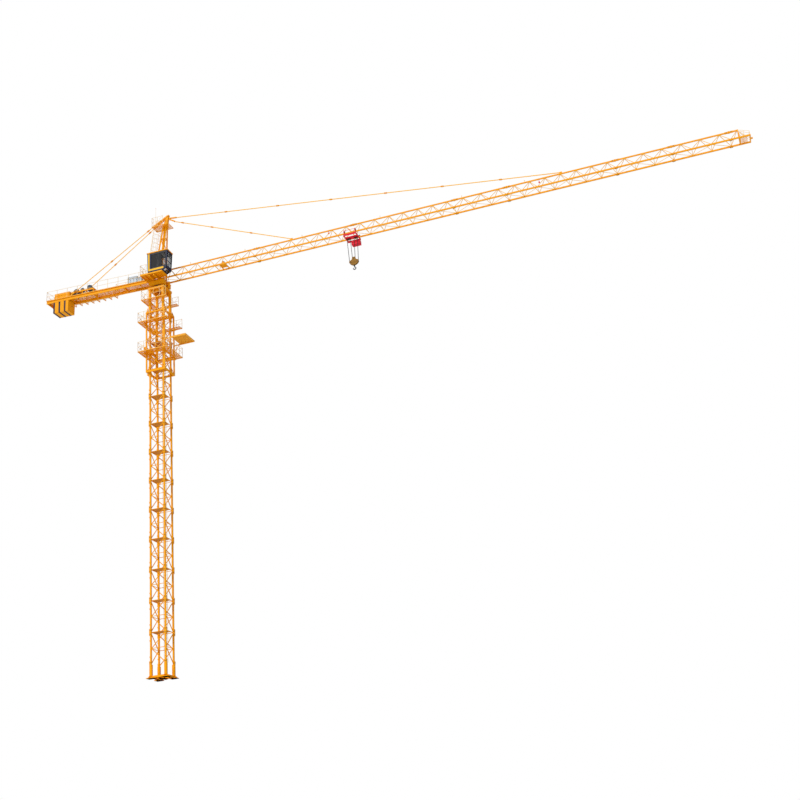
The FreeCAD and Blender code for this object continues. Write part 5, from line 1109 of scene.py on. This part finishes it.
# ties and pendants: the ends of each bar and its couplers' shares of its length

tieFoot = (-4.89, deckTop - 0.02)
barRuns = [((0.825, 0, jibZ + 3.285), (7.08, 0, jibZ + 0.622), (1 / 3, 2 / 3, 0.076)),
           ((0.925, 0, jibZ + 3.485), (20.3, 0, jibZ + 0.622), [i / 7 for i in range(1, 7)])]
for side in (-1, 1):
    tieEnd = rake @ Vector((tieFoot[0], side * jibHalf, deckTop + 0.045))
    barRuns.append(((-0.31, side * 0.075, jibZ + 3.215), tieEnd, (0.5, 0.06, 0.94)))


def buildCouplers(runs):
    # fork couplers with cross pins on every tension bar
    sleeve = newBlock((-0.075, -0.021, -0.027), (0.075, 0.021, 0.027), 0.008)
    sinkFaces(sleeve, facing("Y"), 0.010, 0.006)
    places = []
    for start, end, shares in runs:
        turn = (Vector(end) - Vector(start)).to_track_quat("X", "Z").to_matrix().to_4x4()
        places += [Matrix.Translation(between(start, end, share)) @ turn for share in shares]
    pins = [place @ acrossY(dx, 0, 0) for place in places for dx in (-0.045, 0.045)]
    finishPiece(copyTo(sleeve, places), "barCouplers", "slewing_top", "crane_paint", smooth=False)
    finishPiece(copyTo(newPin(0.009, 0.045), pins), "couplerPins", "slewing_top", "crane_paint")
    # the ties' feet: a plated lug on each counter-jib beam
    lug = newBlock((-0.09, -0.03, 0), (0.09, 0.03, 0.085), 0)
    cutBlock(lug, [((side * 0.09, 0, 0.02), (side, 0, 1.1)) for side in (1, -1)])
    sinkFaces(lug, facing("Y"), 0.012, 0.008)
    feet = [rake @ moveTo(tieFoot[0], side * jibHalf, tieFoot[1]) for side in (-1, 1)]
    finishPiece(copyTo(lug, feet), "tieFootLugs", "slewing_top", "crane_paint", smooth=False)


# jib fittings

jibFittings = {"sleeve": 0.18, "topPin": 0.1, "lowPin": (0.035, -0.023),
               "guides": ((8.997, 0.416), (19.269, 0.388)),
               "postX": (1.692, 4.636, 7.635, 11.612, 15.624, 18.612), "guidePlate": 0.03}


def buildJibJoints(look):
    joints = jibPoints()[1][1:]
    sleeve = newBlock((-look["sleeve"], -0.036, -0.036), (look["sleeve"], 0.036, 0.036), 0.006)
    sinkFaces(sleeve, facing("X"), 0.006, 0.004)
    rim = newBlock((-0.012, -0.044, -0.044), (0.012, 0.044, 0.044), 0.003)
    tops = [moveTo(x, 0, jibZ + jibRise) for x in joints]
    rims = [place @ moveTo(dx, 0, 0) for place in tops for dx in (-0.014, 0.014)]
    # lower joints keep below the wheels' path and inside the trolley's side plates
    lug = newBlock((-0.07, -0.037, -0.044), (0.07, 0.037, 0.022), 0.005)
    sinkFaces(lug, facing("Y"), 0.01, 0.004)
    feet = [moveTo(x, side * jibHalf, jibZ) for x in joints for side in (-1, 1)]
    finishPiece(joinAll([copyTo(sleeve, tops), copyTo(rim, rims), copyTo(lug, feet)]), "jibJoints",
                "slewing_top", "crane_paint", smooth=False)
    pins = [place @ acrossY(dx, 0, 0) for place in tops for dx in (-look["topPin"], look["topPin"])]
    dx, drop = look["lowPin"]
    lowPins = [foot @ moveTo(shift, 0, drop) for foot in feet for shift in (-dx, dx)]
    finishPiece(joinAll([copyTo(newPin(0.012, 0.074), pins), copyTo(newPin(0.010, 0.068), lowPins)]),
                "jibJointPins", "slewing_top", "dark_steel")


def buildJibFittings(look):
    post = newTurned([(0, 0.02), (0.006, 0.02), (0.007, 0.011), (0.085, 0.011), (0.086, 0.017),
                      (0.105, 0.017), (0.11, 0.012)], 12)
    finishPiece(copyTo(post, [moveTo(x, 0, jibZ + jibRise + 0.025) for x in look["postX"]]), "lifelinePosts",
                "slewing_top", "pale_paint")
    # rope guides under the top chord
    plate = look["guidePlate"]
    cheek = newBlock((-0.035, 0.014, -plate), (0.035, 0.02, plate), 0.003)
    roller = newTurned([(-0.013, 0.024), (-0.01, 0.026), (-0.003, 0.018), (0.003, 0.018), (0.01, 0.026),
                        (0.013, 0.024)], 14)
    bridge = newBlock((-0.008, -0.02, plate - 0.006), (0.008, 0.02, plate), 0.001)
    places = [moveTo(x, 0, jibZ + rise) for x, rise in look["guides"]]
    hangers = [((x, 0, jibZ + rise + 0.026), (x, 0, jibZ + jibRise - 0.025)) for x, rise in look["guides"]]
    cheeks = [place @ turnAbout("Z", angle) for place in places for angle in (0, 180)]
    rollers = [place @ turnAbout("X", 90) for place in places]
    finishPiece(joinAll([copyTo(cheek, cheeks), copyTo(roller, rollers), braceRun(hangers, 0.009, 8),
                         copyTo(bridge, places)]), "ropeGuides", "slewing_top", "trolley_paint")


noseLook = {"apex": 28.13, "foot": 28.34, "end": 28.575, "half": 0.278, "railZ": jibZ + 0.22,
            "lowZ": jibZ + 0.028, "topZ": jibZ + jibRise + 0.01, "tube": 0.008}


def buildNoseRails(look):
    apex, end, half, top, low = look["apex"], look["end"], look["half"], look["topZ"], look["lowZ"]
    spans = []
    for side in (-1, 1):
        y = side * half
        corner, foot, peak = (end, y, look["railZ"]), (look["foot"], y, low), (apex, side * 0.02, top)
        spans += [(peak, corner), ((end, y, low), corner), ((apex, side * 0.02, top - 0.02), foot),
                  (foot, between(peak, corner, 0.5)), ((apex, side * 0.03, top - 0.05), (end, y, jibZ + 0.1))]
    spans.append(((end, -half, look["railZ"]), (end, half, look["railZ"])))
    finishPiece(braceRun(spans, look["tube"], 8), "noseRailings", "slewing_top", "pale_paint")


buildHeadPeak(headLook)
buildCouplers(barRuns)
print("stage: tower head and couplers")
buildJibJoints(jibFittings)
buildJibFittings(jibFittings)
buildNoseRails(noseLook)
print("stage: jib fittings")


# cab

cabFront = cabBack + 1.07
cabWindow = {"rear": 0.01, "front": 0.795, "split": 0.585, "sill": cabFloor + 0.24, "head": cabRoof - 0.09,
             "wall": 0.024, "pane": 0.007, "paneEdge": 0.0015, "bar": 0.014, "proud": 0.008, "mullion": 0.008,
             "waist": 0.42, "frontBars": (0.36, 0.72)}
cabLean = 0.065 / 0.955          # forward lean of the front wall for each metre up
cabPillar = 0.05
cabToe = {"start": cabFront - 0.3, "end": cabFront - 0.065, "rise": 0.11, "sill": 0.04}


def newFrame(width, height, bar, thickness):
    # a rectangular frame in the XY plane, its lower left corner at the origin
    rim = newBlock((0, 0, -thickness / 2), (width, height, thickness / 2), 0)
    takeUp(rim)
    openMesh()
    pickFaces(facing("Z"))
    bpy.ops.mesh.inset(thickness=bar, depth=0, use_individual=True)
    bpy.ops.mesh.bridge_edge_loops()
    bpy.ops.mesh.select_all(action="SELECT")
    bpy.ops.mesh.bevel(offset=thickness * 0.18, offset_type="OFFSET", segments=1, affect="EDGES")
    bpy.ops.mesh.normals_make_consistent(inside=False)
    bpy.ops.object.mode_set(mode="OBJECT")
    return rim


def frontWallX(z):
    return cabToe["end"] + (z - cabFloor - cabToe["rise"]) * cabLean


def newWindow(look, plane, width, height, shares):
    # a pane in its frame, with cross bars at shares of its height and an upright in the middle
    half, thin = look["pane"] / 2, look["mullion"]
    glass = newBlock((0, 0, -half), (width, height, half), look["paneEdge"])
    bars = [newFrame(width, height, look["bar"], look["wall"] + look["proud"])]
    bars += [newBlock((0, share * height - thin, -0.014), (width, share * height + thin, 0.014), 0.003)
             for share in shares]
    bars.append(newBlock((width / 2 - thin, 0, -0.014), (width / 2 + thin, height, 0.014), 0.003))
    return placed(glass, plane), [placed(bar, plane) for bar in bars]


def buildCabGlazing(look):
    sill, head, split, rear, front = (look[key] for key in ("sill", "head", "split", "rear", "front"))
    height, half, inside = head - sill, look["pane"] / 2, look["wall"] / 2
    waist = sill + look["waist"] * height
    skin = cabNear + inside
    dark = newBlock((rear, skin - half, sill), (split, skin + half, head), look["paneEdge"])
    clear, frames = [], []
    for y, start in ((skin, split), (cabFar - inside, rear)):
        clear.append(newBlock((start, y - half, sill), (front, y + half, head), look["paneEdge"]))
        side = newFrame(front - rear, height, look["bar"], look["wall"] + look["proud"])
        frames += [placed(side, moveTo(rear, y, sill) @ turnAbout("X", 90)),
                   newBlock((split - 0.009, y - 0.014, sill), (split + 0.009, y + 0.014, head), 0.003),
                   newBlock((split, y - 0.012, waist), (front, y + 0.012, waist + 0.014), 0.003)]
    # front wall, and the sloping foot window under it
    width = (cabFar - cabPillar) - (cabNear + cabPillar)
    up = Vector((cabLean, 0, 1)).normalized()
    wall = axesMatrix((frontWallX(sill) - inside, cabNear + cabPillar, sill), (0, 1, 0), up)
    run = Vector((cabToe["end"] - cabToe["start"], 0, cabToe["rise"]))
    along = run.normalized()
    inner = Vector((-along.z, 0, along.x)) * inside
    foot = Vector((cabToe["start"], cabNear + cabPillar, cabFloor)) + along * cabPillar + inner
    toe = axesMatrix(foot, (0, 1, 0), along)
    for plane, length, shares in ((wall, height / up.z, look["frontBars"]),
                                  (toe, run.length - cabPillar - cabToe["sill"], ())):
        glass, bars = newWindow(look, plane, width, length, shares)
        clear.append(glass)
        frames += bars
    finishPiece(dark, "cabSideGlass", "slewing_top", "cab_glass", standsFor=["cab_glass"], smooth=False)
    finishPiece(joinAll(clear), "cabFrontGlass", "slewing_top", "cab_glass", clearGlass, smooth=False)
    finishPiece(joinAll(frames), "cabWindowFrames", "slewing_top", "cab_paint", gasketPaint, smooth=False)


roofTrim = {"over": 0.02, "back": 0.035, "far": 0.008, "gutterZ": cabRoof + 0.042, "ribs": 6, "ribStart": 0.1,
            "ribPitch": 0.16, "rib": 0.04, "vent": (0.1, -0.62, cabRoof + 0.04)}


def buildCabRoof(look):
    # gutters on the roof's edge, pressed ribs and a vent
    z = look["gutterZ"]
    back = (cabBack - look["back"], cabNear - look["over"], z)
    corner = (cabFront + look["over"], cabNear - look["over"], z)
    far = (cabFront + look["over"], cabFar + look["far"], z)
    parts = [newBar(a, b, 0.008, 0.01, 0.002) for a, b in ((back, corner), (corner, far))]
    for i in range(look["ribs"]):
        x = cabBack + look["ribStart"] + look["ribPitch"] * i
        parts.append(newBlock((x, cabNear + 0.04, cabRoof + 0.039),
                              (x + look["rib"], cabFar - 0.04, cabRoof + 0.047), 0.003))
    vent = newTurned([(0, 0.05), (0.03, 0.05), (0.031, 0.07), (0.042, 0.07), (0.05, 0.045)], 20)
    parts.append(placed(vent, moveTo(*look["vent"])))
    finishPiece(joinAll(parts), "cabRoofTrim", "slewing_top", "crane_paint", smooth=False)


doorLook = {"sill": cabFloor + 0.06, "size": (0.33, 0.93, 0.018, 0.012), "light": (0.22, 0.42, 0.014, 0.008),
            "lightRise": 0.42, "skin": 0.008, "gripY": 0.115, "gripZ": (0.32, 0.46), "hingeY": 0.152,
            "hingeZ": (0.1, 0.42, 0.74), "hinge": 0.06}


def buildCabDoor(look):
    # the door's frames, its grip and hinges, and a wiper on the front glass
    middle, sill, skin = (cabNear + cabFar) / 2, look["sill"], cabBack - look["skin"]
    frames = []
    for size, rise in ((look["size"], -0.015), (look["light"], look["lightRise"])):
        corner = (skin, middle + size[0] / 2, sill + rise)
        frames.append(placed(newFrame(*size), axesMatrix(corner, (0, -1, 0), (0, 0, 1))))
    finishPiece(joinAll(frames), "cabDoorFrames", "slewing_top", "cab_paint", gasketPaint, smooth=False)
    y, low, high = middle - look["gripY"], *(sill + z for z in look["gripZ"])
    near, out = cabBack - 0.004, cabBack - 0.034
    grip = [((near, y, z), (out, y, z)) for z in (low, high)]
    grip.append(((out, y, low - 0.015), (out, y, high + 0.015)))
    x, y = cabBack - 0.012, middle + look["hingeY"]
    hinges = [((x, y, sill + z), (x, y, sill + z + look["hinge"])) for z in look["hingeZ"]]
    finishPiece(joinAll([braceRun(grip, 0.005, 8), braceRun(hinges, 0.007, 8)]), "cabDoorFittings",
                "slewing_top", "dark_steel")
    x, z = frontWallX(cabWindow["sill"]), cabWindow["sill"]
    arm = [((x + 0.012, middle - 0.02, z + 0.02), (x + 0.040, middle + 0.12, z + 0.34))]
    finishPiece(braceRun(arm, 0.0035, 6), "cabWiper", "slewing_top", "cab_paint", gasketPaint)


# counter-jib machinery, modelled level and raked with the counter-jib

cabinetSizes = {"near": -0.296,
                "cabinets": (((-1.64, -1.12, -0.06, 0.37), 3), ((-1.095, -0.86, -0.10, 0.25), 1)),
                "handles": (-1.48, -1.307, -1.134, -0.885), "handleZ": (0.13, 0.19), "gap": 0.012, "slats": 4}


def newCabinet(look, x0, x1, y0, y1, height, doors):
    top = deckTop + height
    parts = [newBlock((x0, y0, deckTop + 0.012), (x1, y1, top - 0.012)),
             newBlock((x0 + 0.01, y0 + 0.01, deckTop), (x1 - 0.01, y1 - 0.01, deckTop + 0.014), 0),
             newBlock((x0 - 0.01, y0 - 0.01, top - 0.016), (x1 + 0.01, y1 + 0.01, top))]
    width = (x1 - x0) / doors
    for i in range(doors):
        a, b = x0 + width * i + look["gap"], x0 + width * (i + 1) - look["gap"]
        for y, out in ((y0, -1), (y1, 1)):
            low, high = sorted((y, y + out * 0.007))
            door = newBlock((a, low, deckTop + 0.035), (b, high, top - 0.04), 0.002)
            parts.append(sinkFaces(door, facing("Y", out), 0.012, 0.003))
            low, high = sorted((y + out * 0.004, y + out * 0.009))
            for j in range(look["slats"]):
                z = top - 0.09 - 0.012 * j
                parts.append(newBlock((a + 0.04, low, z), (b - 0.04, high, z + 0.005), 0.001))
    return parts


def buildCabinets(look):
    parts, near = [], look["near"]
    for (x0, x1, y1, height), doors in look["cabinets"]:
        parts += newCabinet(look, x0, x1, near, y1, height, doors)
    finishPiece(placed(joinAll(parts), rake), "switchCabinets", "slewing_top", "cabinet_paint",
                standsFor=["cabinets"], smooth=False)
    low, high = (deckTop + z for z in look["handleZ"])
    handles = [((x, near - 0.010, low), (x, near - 0.010, high)) for x in look["handles"]]
    finishPiece(placed(braceRun(handles, 0.005, 6), rake), "cabinetHandles", "slewing_top", "dark_steel")


def newWinding(radius, rope, half, sides=32):
    # a drum's layer of rope along Z, one ridge for each turn
    profile = [(-half, radius)]
    turns = round(2 * half / rope)
    pitch = 2 * half / turns
    for i in range(turns):
        start = -half + pitch * i
        profile += [(start + pitch * 0.15, radius + rope * 0.6), (start + pitch * 0.5, radius + rope * 0.86),
                    (start + pitch * 0.85, radius + rope * 0.6), (start + pitch, radius + rope * 0.1)]
    return newTurned(profile, sides)


drumLook = {"hoist": (-4.64842, 0, jibZ + 0.51293), "trolley": (3.5, 0, jibZ + 0.161), "boltRing": 0.155,
            "boltCount": 8, "cheek": 0.1365}


def buildDrumWindings(look):
    winding = placed(newWinding(0.129, 0.0145, 0.121), acrossY(*look["hoist"]))
    finishPiece(winding, "hoistRopeWinding", "hoist_drum", "rope_steel")
    bolt = newTurned([(0, 0.009), (0.004, 0.009), (0.0045, 0.0065), (0.007, 0.0065)], 6)
    places = []
    for side in (-1, 1):
        cheek = acrossY(*look["hoist"], side) @ moveTo(0, 0, look["cheek"])
        places += [cheek @ turnAbout("Z", 360 * i / look["boltCount"]) @ moveTo(look["boltRing"], 0, 0)
                   for i in range(look["boltCount"])]
    finishPiece(copyTo(bolt, places), "hoistDrumBolts", "hoist_drum", "dark_steel", smooth=False)
    winding = placed(newWinding(0.0595, 0.009, 0.097, 24), acrossY(*look["trolley"]))
    finishPiece(winding, "trolleyRopeWinding", "trolley_drum", "rope_steel")


winchLook = {"motor": (-3.905, 0, jibZ + 0.497), "fins": 12, "finPitch": 0.0165,
             "brake": (-4.35, -0.035, jibZ + 0.522), "ribX": (-4.426, -4.274),
             "ribZ": (jibZ + 0.376, jibZ + 0.52), "ribPitch": 0.05}


def buildWinchDetails(look):
    x, y, z = look["motor"]
    axis = acrossY(x, y, z)
    fin = newTurned([(-0.0025, 0.119), (0.0025, 0.119)], 28)
    fins = copyTo(fin, [axis @ moveTo(0, 0, -0.09 + look["finPitch"] * i) for i in range(look["fins"])])
    cowl = newTurned([(0.115, 0.121), (0.165, 0.121), (0.180, 0.112), (0.184, 0.09), (0.180, 0.085),
                      (0.180, 0.03)], 28)
    bell = newTurned([(-0.176, 0.06), (-0.172, 0.085), (-0.155, 0.116), (-0.12, 0.119), (-0.112, 0.119)], 28)
    box = newBlock((x - 0.05, -0.05, z + 0.1), (x + 0.05, 0.05, z + 0.155), 0.006)
    sinkFaces(box, facing("Z", 1), 0.01, -0.004)
    # a domed brake cover at the gearbox, and its ribs
    brake = newTurned([(0, 0.07), (0.03, 0.07), (0.05, 0.06), (0.062, 0.04), (0.067, 0.015)], 24)
    parts = [fins, placed(cowl, axis), placed(bell, axis), box, placed(brake, moveTo(*look["brake"]))]
    (x0, x1), (low, high) = look["ribX"], look["ribZ"]
    for i in range(4):
        start = -0.12 + look["ribPitch"] * i
        parts.append(newBlock((x0, start, low), (x1, start + 0.008, high), 0.002))
    finishPiece(placed(joinAll(parts), rake), "winchMotorCasing", "slewing_top", "machine_paint")


weightLook = {"x": (-5.69, -5.405, -5.12), "eyeY": 0.14, "top": jibZ + 0.44,
              "hole": (-4.979, 0.04, jibZ - 0.28)}


def buildWeightFittings(look):
    places = [rake @ acrossY(x, y, look["top"], 1) for x in look["x"] for y in (-look["eyeY"], look["eyeY"])]
    finishPiece(copyTo(newHoop(0.03, 0.008, 180, 10, 8), places), "ballastEyes", "slewing_top", "dark_steel")
    # the slab next to the winch shows its tie hole
    ring = newTurned([(0, 0.032), (0.005, 0.032), (0.006, 0.024), (0.0005, 0.022)], 20)
    finishPiece(placed(ring, rake @ moveTo(*look["hole"]) @ turnAbout("Y", 90)), "ballastTieHole",
                "slewing_top", "dark_steel")


# the side walk's outriggers and mesh

walkLook = {"start": -5.15, "end": -2.65, "inner": 0.34, "outer": 0.63, "armRoot": 0.29,
            "armFoot": jibZ - 0.062, "arm": 0.045, "armPitch": 0.36, "margin": 0.06, "wires": 79,
            "wirePitch": 0.0312, "wire": 0.0035, "lengthY": (0.345, 0.41, 0.48, 0.55, 0.615),
            "length": 0.0055}


def buildSideWalk(look):
    start, end, outer, foot, margin = (look[key] for key in ("start", "end", "outer", "armFoot", "margin"))
    run = end - start - 2 * margin
    count = round(run / look["armPitch"])
    arms = []
    for i in range(count + 1):
        x = start + margin + run * i / count
        arm = newBlock((x - 0.016, look["armRoot"], foot), (x + 0.016, outer, foot + look["arm"]), 0)
        arms.append(cutBlock(arm, [((x, outer, foot + 0.02), (0, 0.02, -0.2))]))
        for y in (outer - 0.05, 0.32):
            low, high = (x - 0.012, y, foot + 0.04), (x + 0.012, y + 0.024, deckUnder + 0.004)
            arms.append(newBlock(low, high, 0.002))
    finishPiece(placed(joinAll(arms), rake), "walkOutriggers", "slewing_top", "crane_paint", smooth=False)
    wires = []
    for i in range(look["wires"]):
        x = start + 0.02 + look["wirePitch"] * i
        wires.append(((x, look["inner"], deckUnder + 0.012), (x, outer - 0.01, deckUnder + 0.012)))
    lengths = [((start, y, deckUnder + 0.006), (end, y, deckUnder + 0.006)) for y in look["lengthY"]]
    mesh = joinAll([braceRun(wires, look["wire"], 4, 1.0), braceRun(lengths, look["length"], 4, 1.0)])
    finishPiece(placed(mesh, rake), "walkMesh", "slewing_top", "pale_paint", standsFor=["counter_walkway"],
                smooth=False)


# trolley, block and hook fittings

trolleyX = ropeFalls["trolleyX"]
trolleyDims = {"side": 0.353, "hubX": 0.275, "hubZ": jibZ + 0.0753, "boltX": (-0.30, -0.25, 0.25, 0.30),
               "boltZ": (-0.085, -0.135), "sheaveX": 0.18, "sheaveZ": jibZ - 0.12, "rim": 0.008,
               "basketX": (trolleyX - 0.164, trolleyX + 0.244), "basketY": (0.359, 0.587),
               "basketZ": jibZ - 0.094}


def grooveProfile(stations):
    # a grooved rim, mirrored about its middle
    return [(-z, radius) for z, radius in stations] + [(z, radius) for z, radius in reversed(stations)]


def buildTrolleyFittings(look):
    cap = newTurned([(0, 0.021), (0.004, 0.021), (0.008, 0.015), (0.012, 0.014), (0.014, 0.010)], 12)
    side = look["side"]
    places = [acrossY(trolleyX + dx, way * side, look["hubZ"], way) for dx in (-look["hubX"], look["hubX"])
              for way in (-1, 1)]
    finishPiece(copyTo(cap, places), "trolleyHubCaps", "trolley", "trolley_paint")
    bolt = newTurned([(0, 0.0095), (0.002, 0.0095), (0.0021, 0.007), (0.008, 0.007)], 6)
    places = [acrossY(trolleyX + dx, way * side, jibZ + dz, way)
              for dx in look["boltX"] for dz in look["boltZ"] for way in (-1, 1)]
    finishPiece(copyTo(bolt, places), "trolleyBolts", "trolley", "dark_steel", smooth=False)
    # rims of the rope sheaves, with a groove for the rope
    rim = grooveProfile([(0.031, 0.071), (0.030, 0.0755), (0.022, 0.0755), (0.008, 0.068)])
    sheave = joinAll([newTurned(rim, 24), newTurned([(-0.036, 0.02), (0.036, 0.02)], 16)])
    places = [acrossY(trolleyX + dx, 0, look["sheaveZ"]) for dx in (-look["sheaveX"], look["sheaveX"])]
    finishPiece(copyTo(sheave, places), "trolleySheaveRims", "trolley", "dark_steel",
                standsFor=["trolley_sheaves"])
    # a hand rail on the basket
    (x0, x1), (y0, y1), z = look["basketX"], look["basketY"], look["basketZ"]
    loop = [(x0, y0, z), (x0, y1, z), (x1, y1, z), (x1, y0, z)]
    finishPiece(braceRun(list(zip(loop, loop[1:])), look["rim"], 8), "basketRim", "trolley", "trolley_paint")


blockDims = {"sheaves": ((0, jibZ - 1.255), (-0.15, jibZ - 1.435), (0.15, jibZ - 1.435)), "cheek": -0.050,
             "ribZ": jibZ - 1.47, "ribHalf": 0.19, "uprightZ": (jibZ - 1.56, jibZ - 1.30),
             "rib": (0.008, 0.02, 0.002), "latch": ((0.018, jibZ - 1.70), (-0.05, jibZ - 1.762))}


def buildBlockFittings(look):
    places = [acrossY(trolleyX + dx, 0, z) for dx, z in look["sheaves"]]
    finishPiece(copyTo(newPin(0.016, 0.092, 1.4), places), "blockPins", "hook_block", "dark_steel")
    rim = grooveProfile([(0.026, 0.056), (0.025, 0.0605), (0.019, 0.0605), (0.007, 0.054)])
    finishPiece(copyTo(newTurned(rim, 24), places), "blockSheaveRims", "hook_block", "dark_steel",
                standsFor=["block_sheaves"])
    # stiffeners on the cheek plates
    y, (low, high) = look["cheek"], look["uprightZ"]
    ribs = [newBar((-look["ribHalf"], y, look["ribZ"]), (look["ribHalf"], y, look["ribZ"]), *look["rib"]),
            newBar((0, y, low), (0, y, high), *look["rib"])]
    sides = [moveTo(trolleyX, 0, 0) @ turnAbout("Z", angle) for angle in (0, 180)]
    finishPiece(copyTo(joinAll(ribs), sides), "blockRibs", "hook_block", "block_paint", smooth=False)
    start, end = ((trolleyX + dx, 0, z) for dx, z in look["latch"])
    latch = newBar(start, end, 0.012, 0.006, 0.002)
    finishPiece(latch, "hookLatch", "hook", "dark_steel", smooth=False)


slewLook = {"boltZ": jibZ - 0.55, "boltRing": 0.36, "boltCount": 24, "motorX": 0.49, "coverZ": jibZ - 0.1297,
            "bandZ": jibZ - 0.25, "bandPitch": 0.018, "bands": 6}


def buildSlewFittings(look):
    # ring bolts under the lower race, and the slewing motors' covers
    bolt = newTurned([(0, 0.014), (0.004, 0.014), (0.0041, 0.0105), (0.016, 0.0105), (0.018, 0.008)], 6)
    places = []
    for i in range(look["boltCount"]):
        spoke = turnAbout("Z", 360 * i / look["boltCount"] + 7) @ moveTo(look["boltRing"], 0, look["boltZ"])
        places.append(spoke @ turnAbout("X", 180))
    finishPiece(copyTo(bolt, places), "slewRingBolts", "tower", "dark_steel", smooth=False)
    cover = newTurned([(0, 0.071), (0.004, 0.074), (0.012, 0.074), (0.02, 0.06), (0.022, 0.02)], 20)
    band = newTurned([(0, 0.0725), (0.006, 0.0725)], 20)
    sides = (-look["motorX"], look["motorX"])
    covers = copyTo(cover, [moveTo(x, 0, look["coverZ"]) for x in sides])
    bands = copyTo(band, [moveTo(x, 0, look["bandZ"] + look["bandPitch"] * i) for x in sides
                          for i in range(look["bands"])])
    finishPiece(joinAll([covers, bands]), "slewMotorCovers", "slewing_top", "crane_paint")


buildCabGlazing(cabWindow)
buildCabRoof(roofTrim)
buildCabDoor(doorLook)
print("stage: cab")
buildCabinets(cabinetSizes)
buildDrumWindings(drumLook)
buildWinchDetails(winchLook)
buildWeightFittings(weightLook)
buildSideWalk(walkLook)
print("stage: counter-jib machinery")
buildTrolleyFittings(trolleyDims)
buildBlockFittings(blockDims)
buildSlewFittings(slewLook)
print("stage: trolley, block and slewing fittings")

print("stage: done")
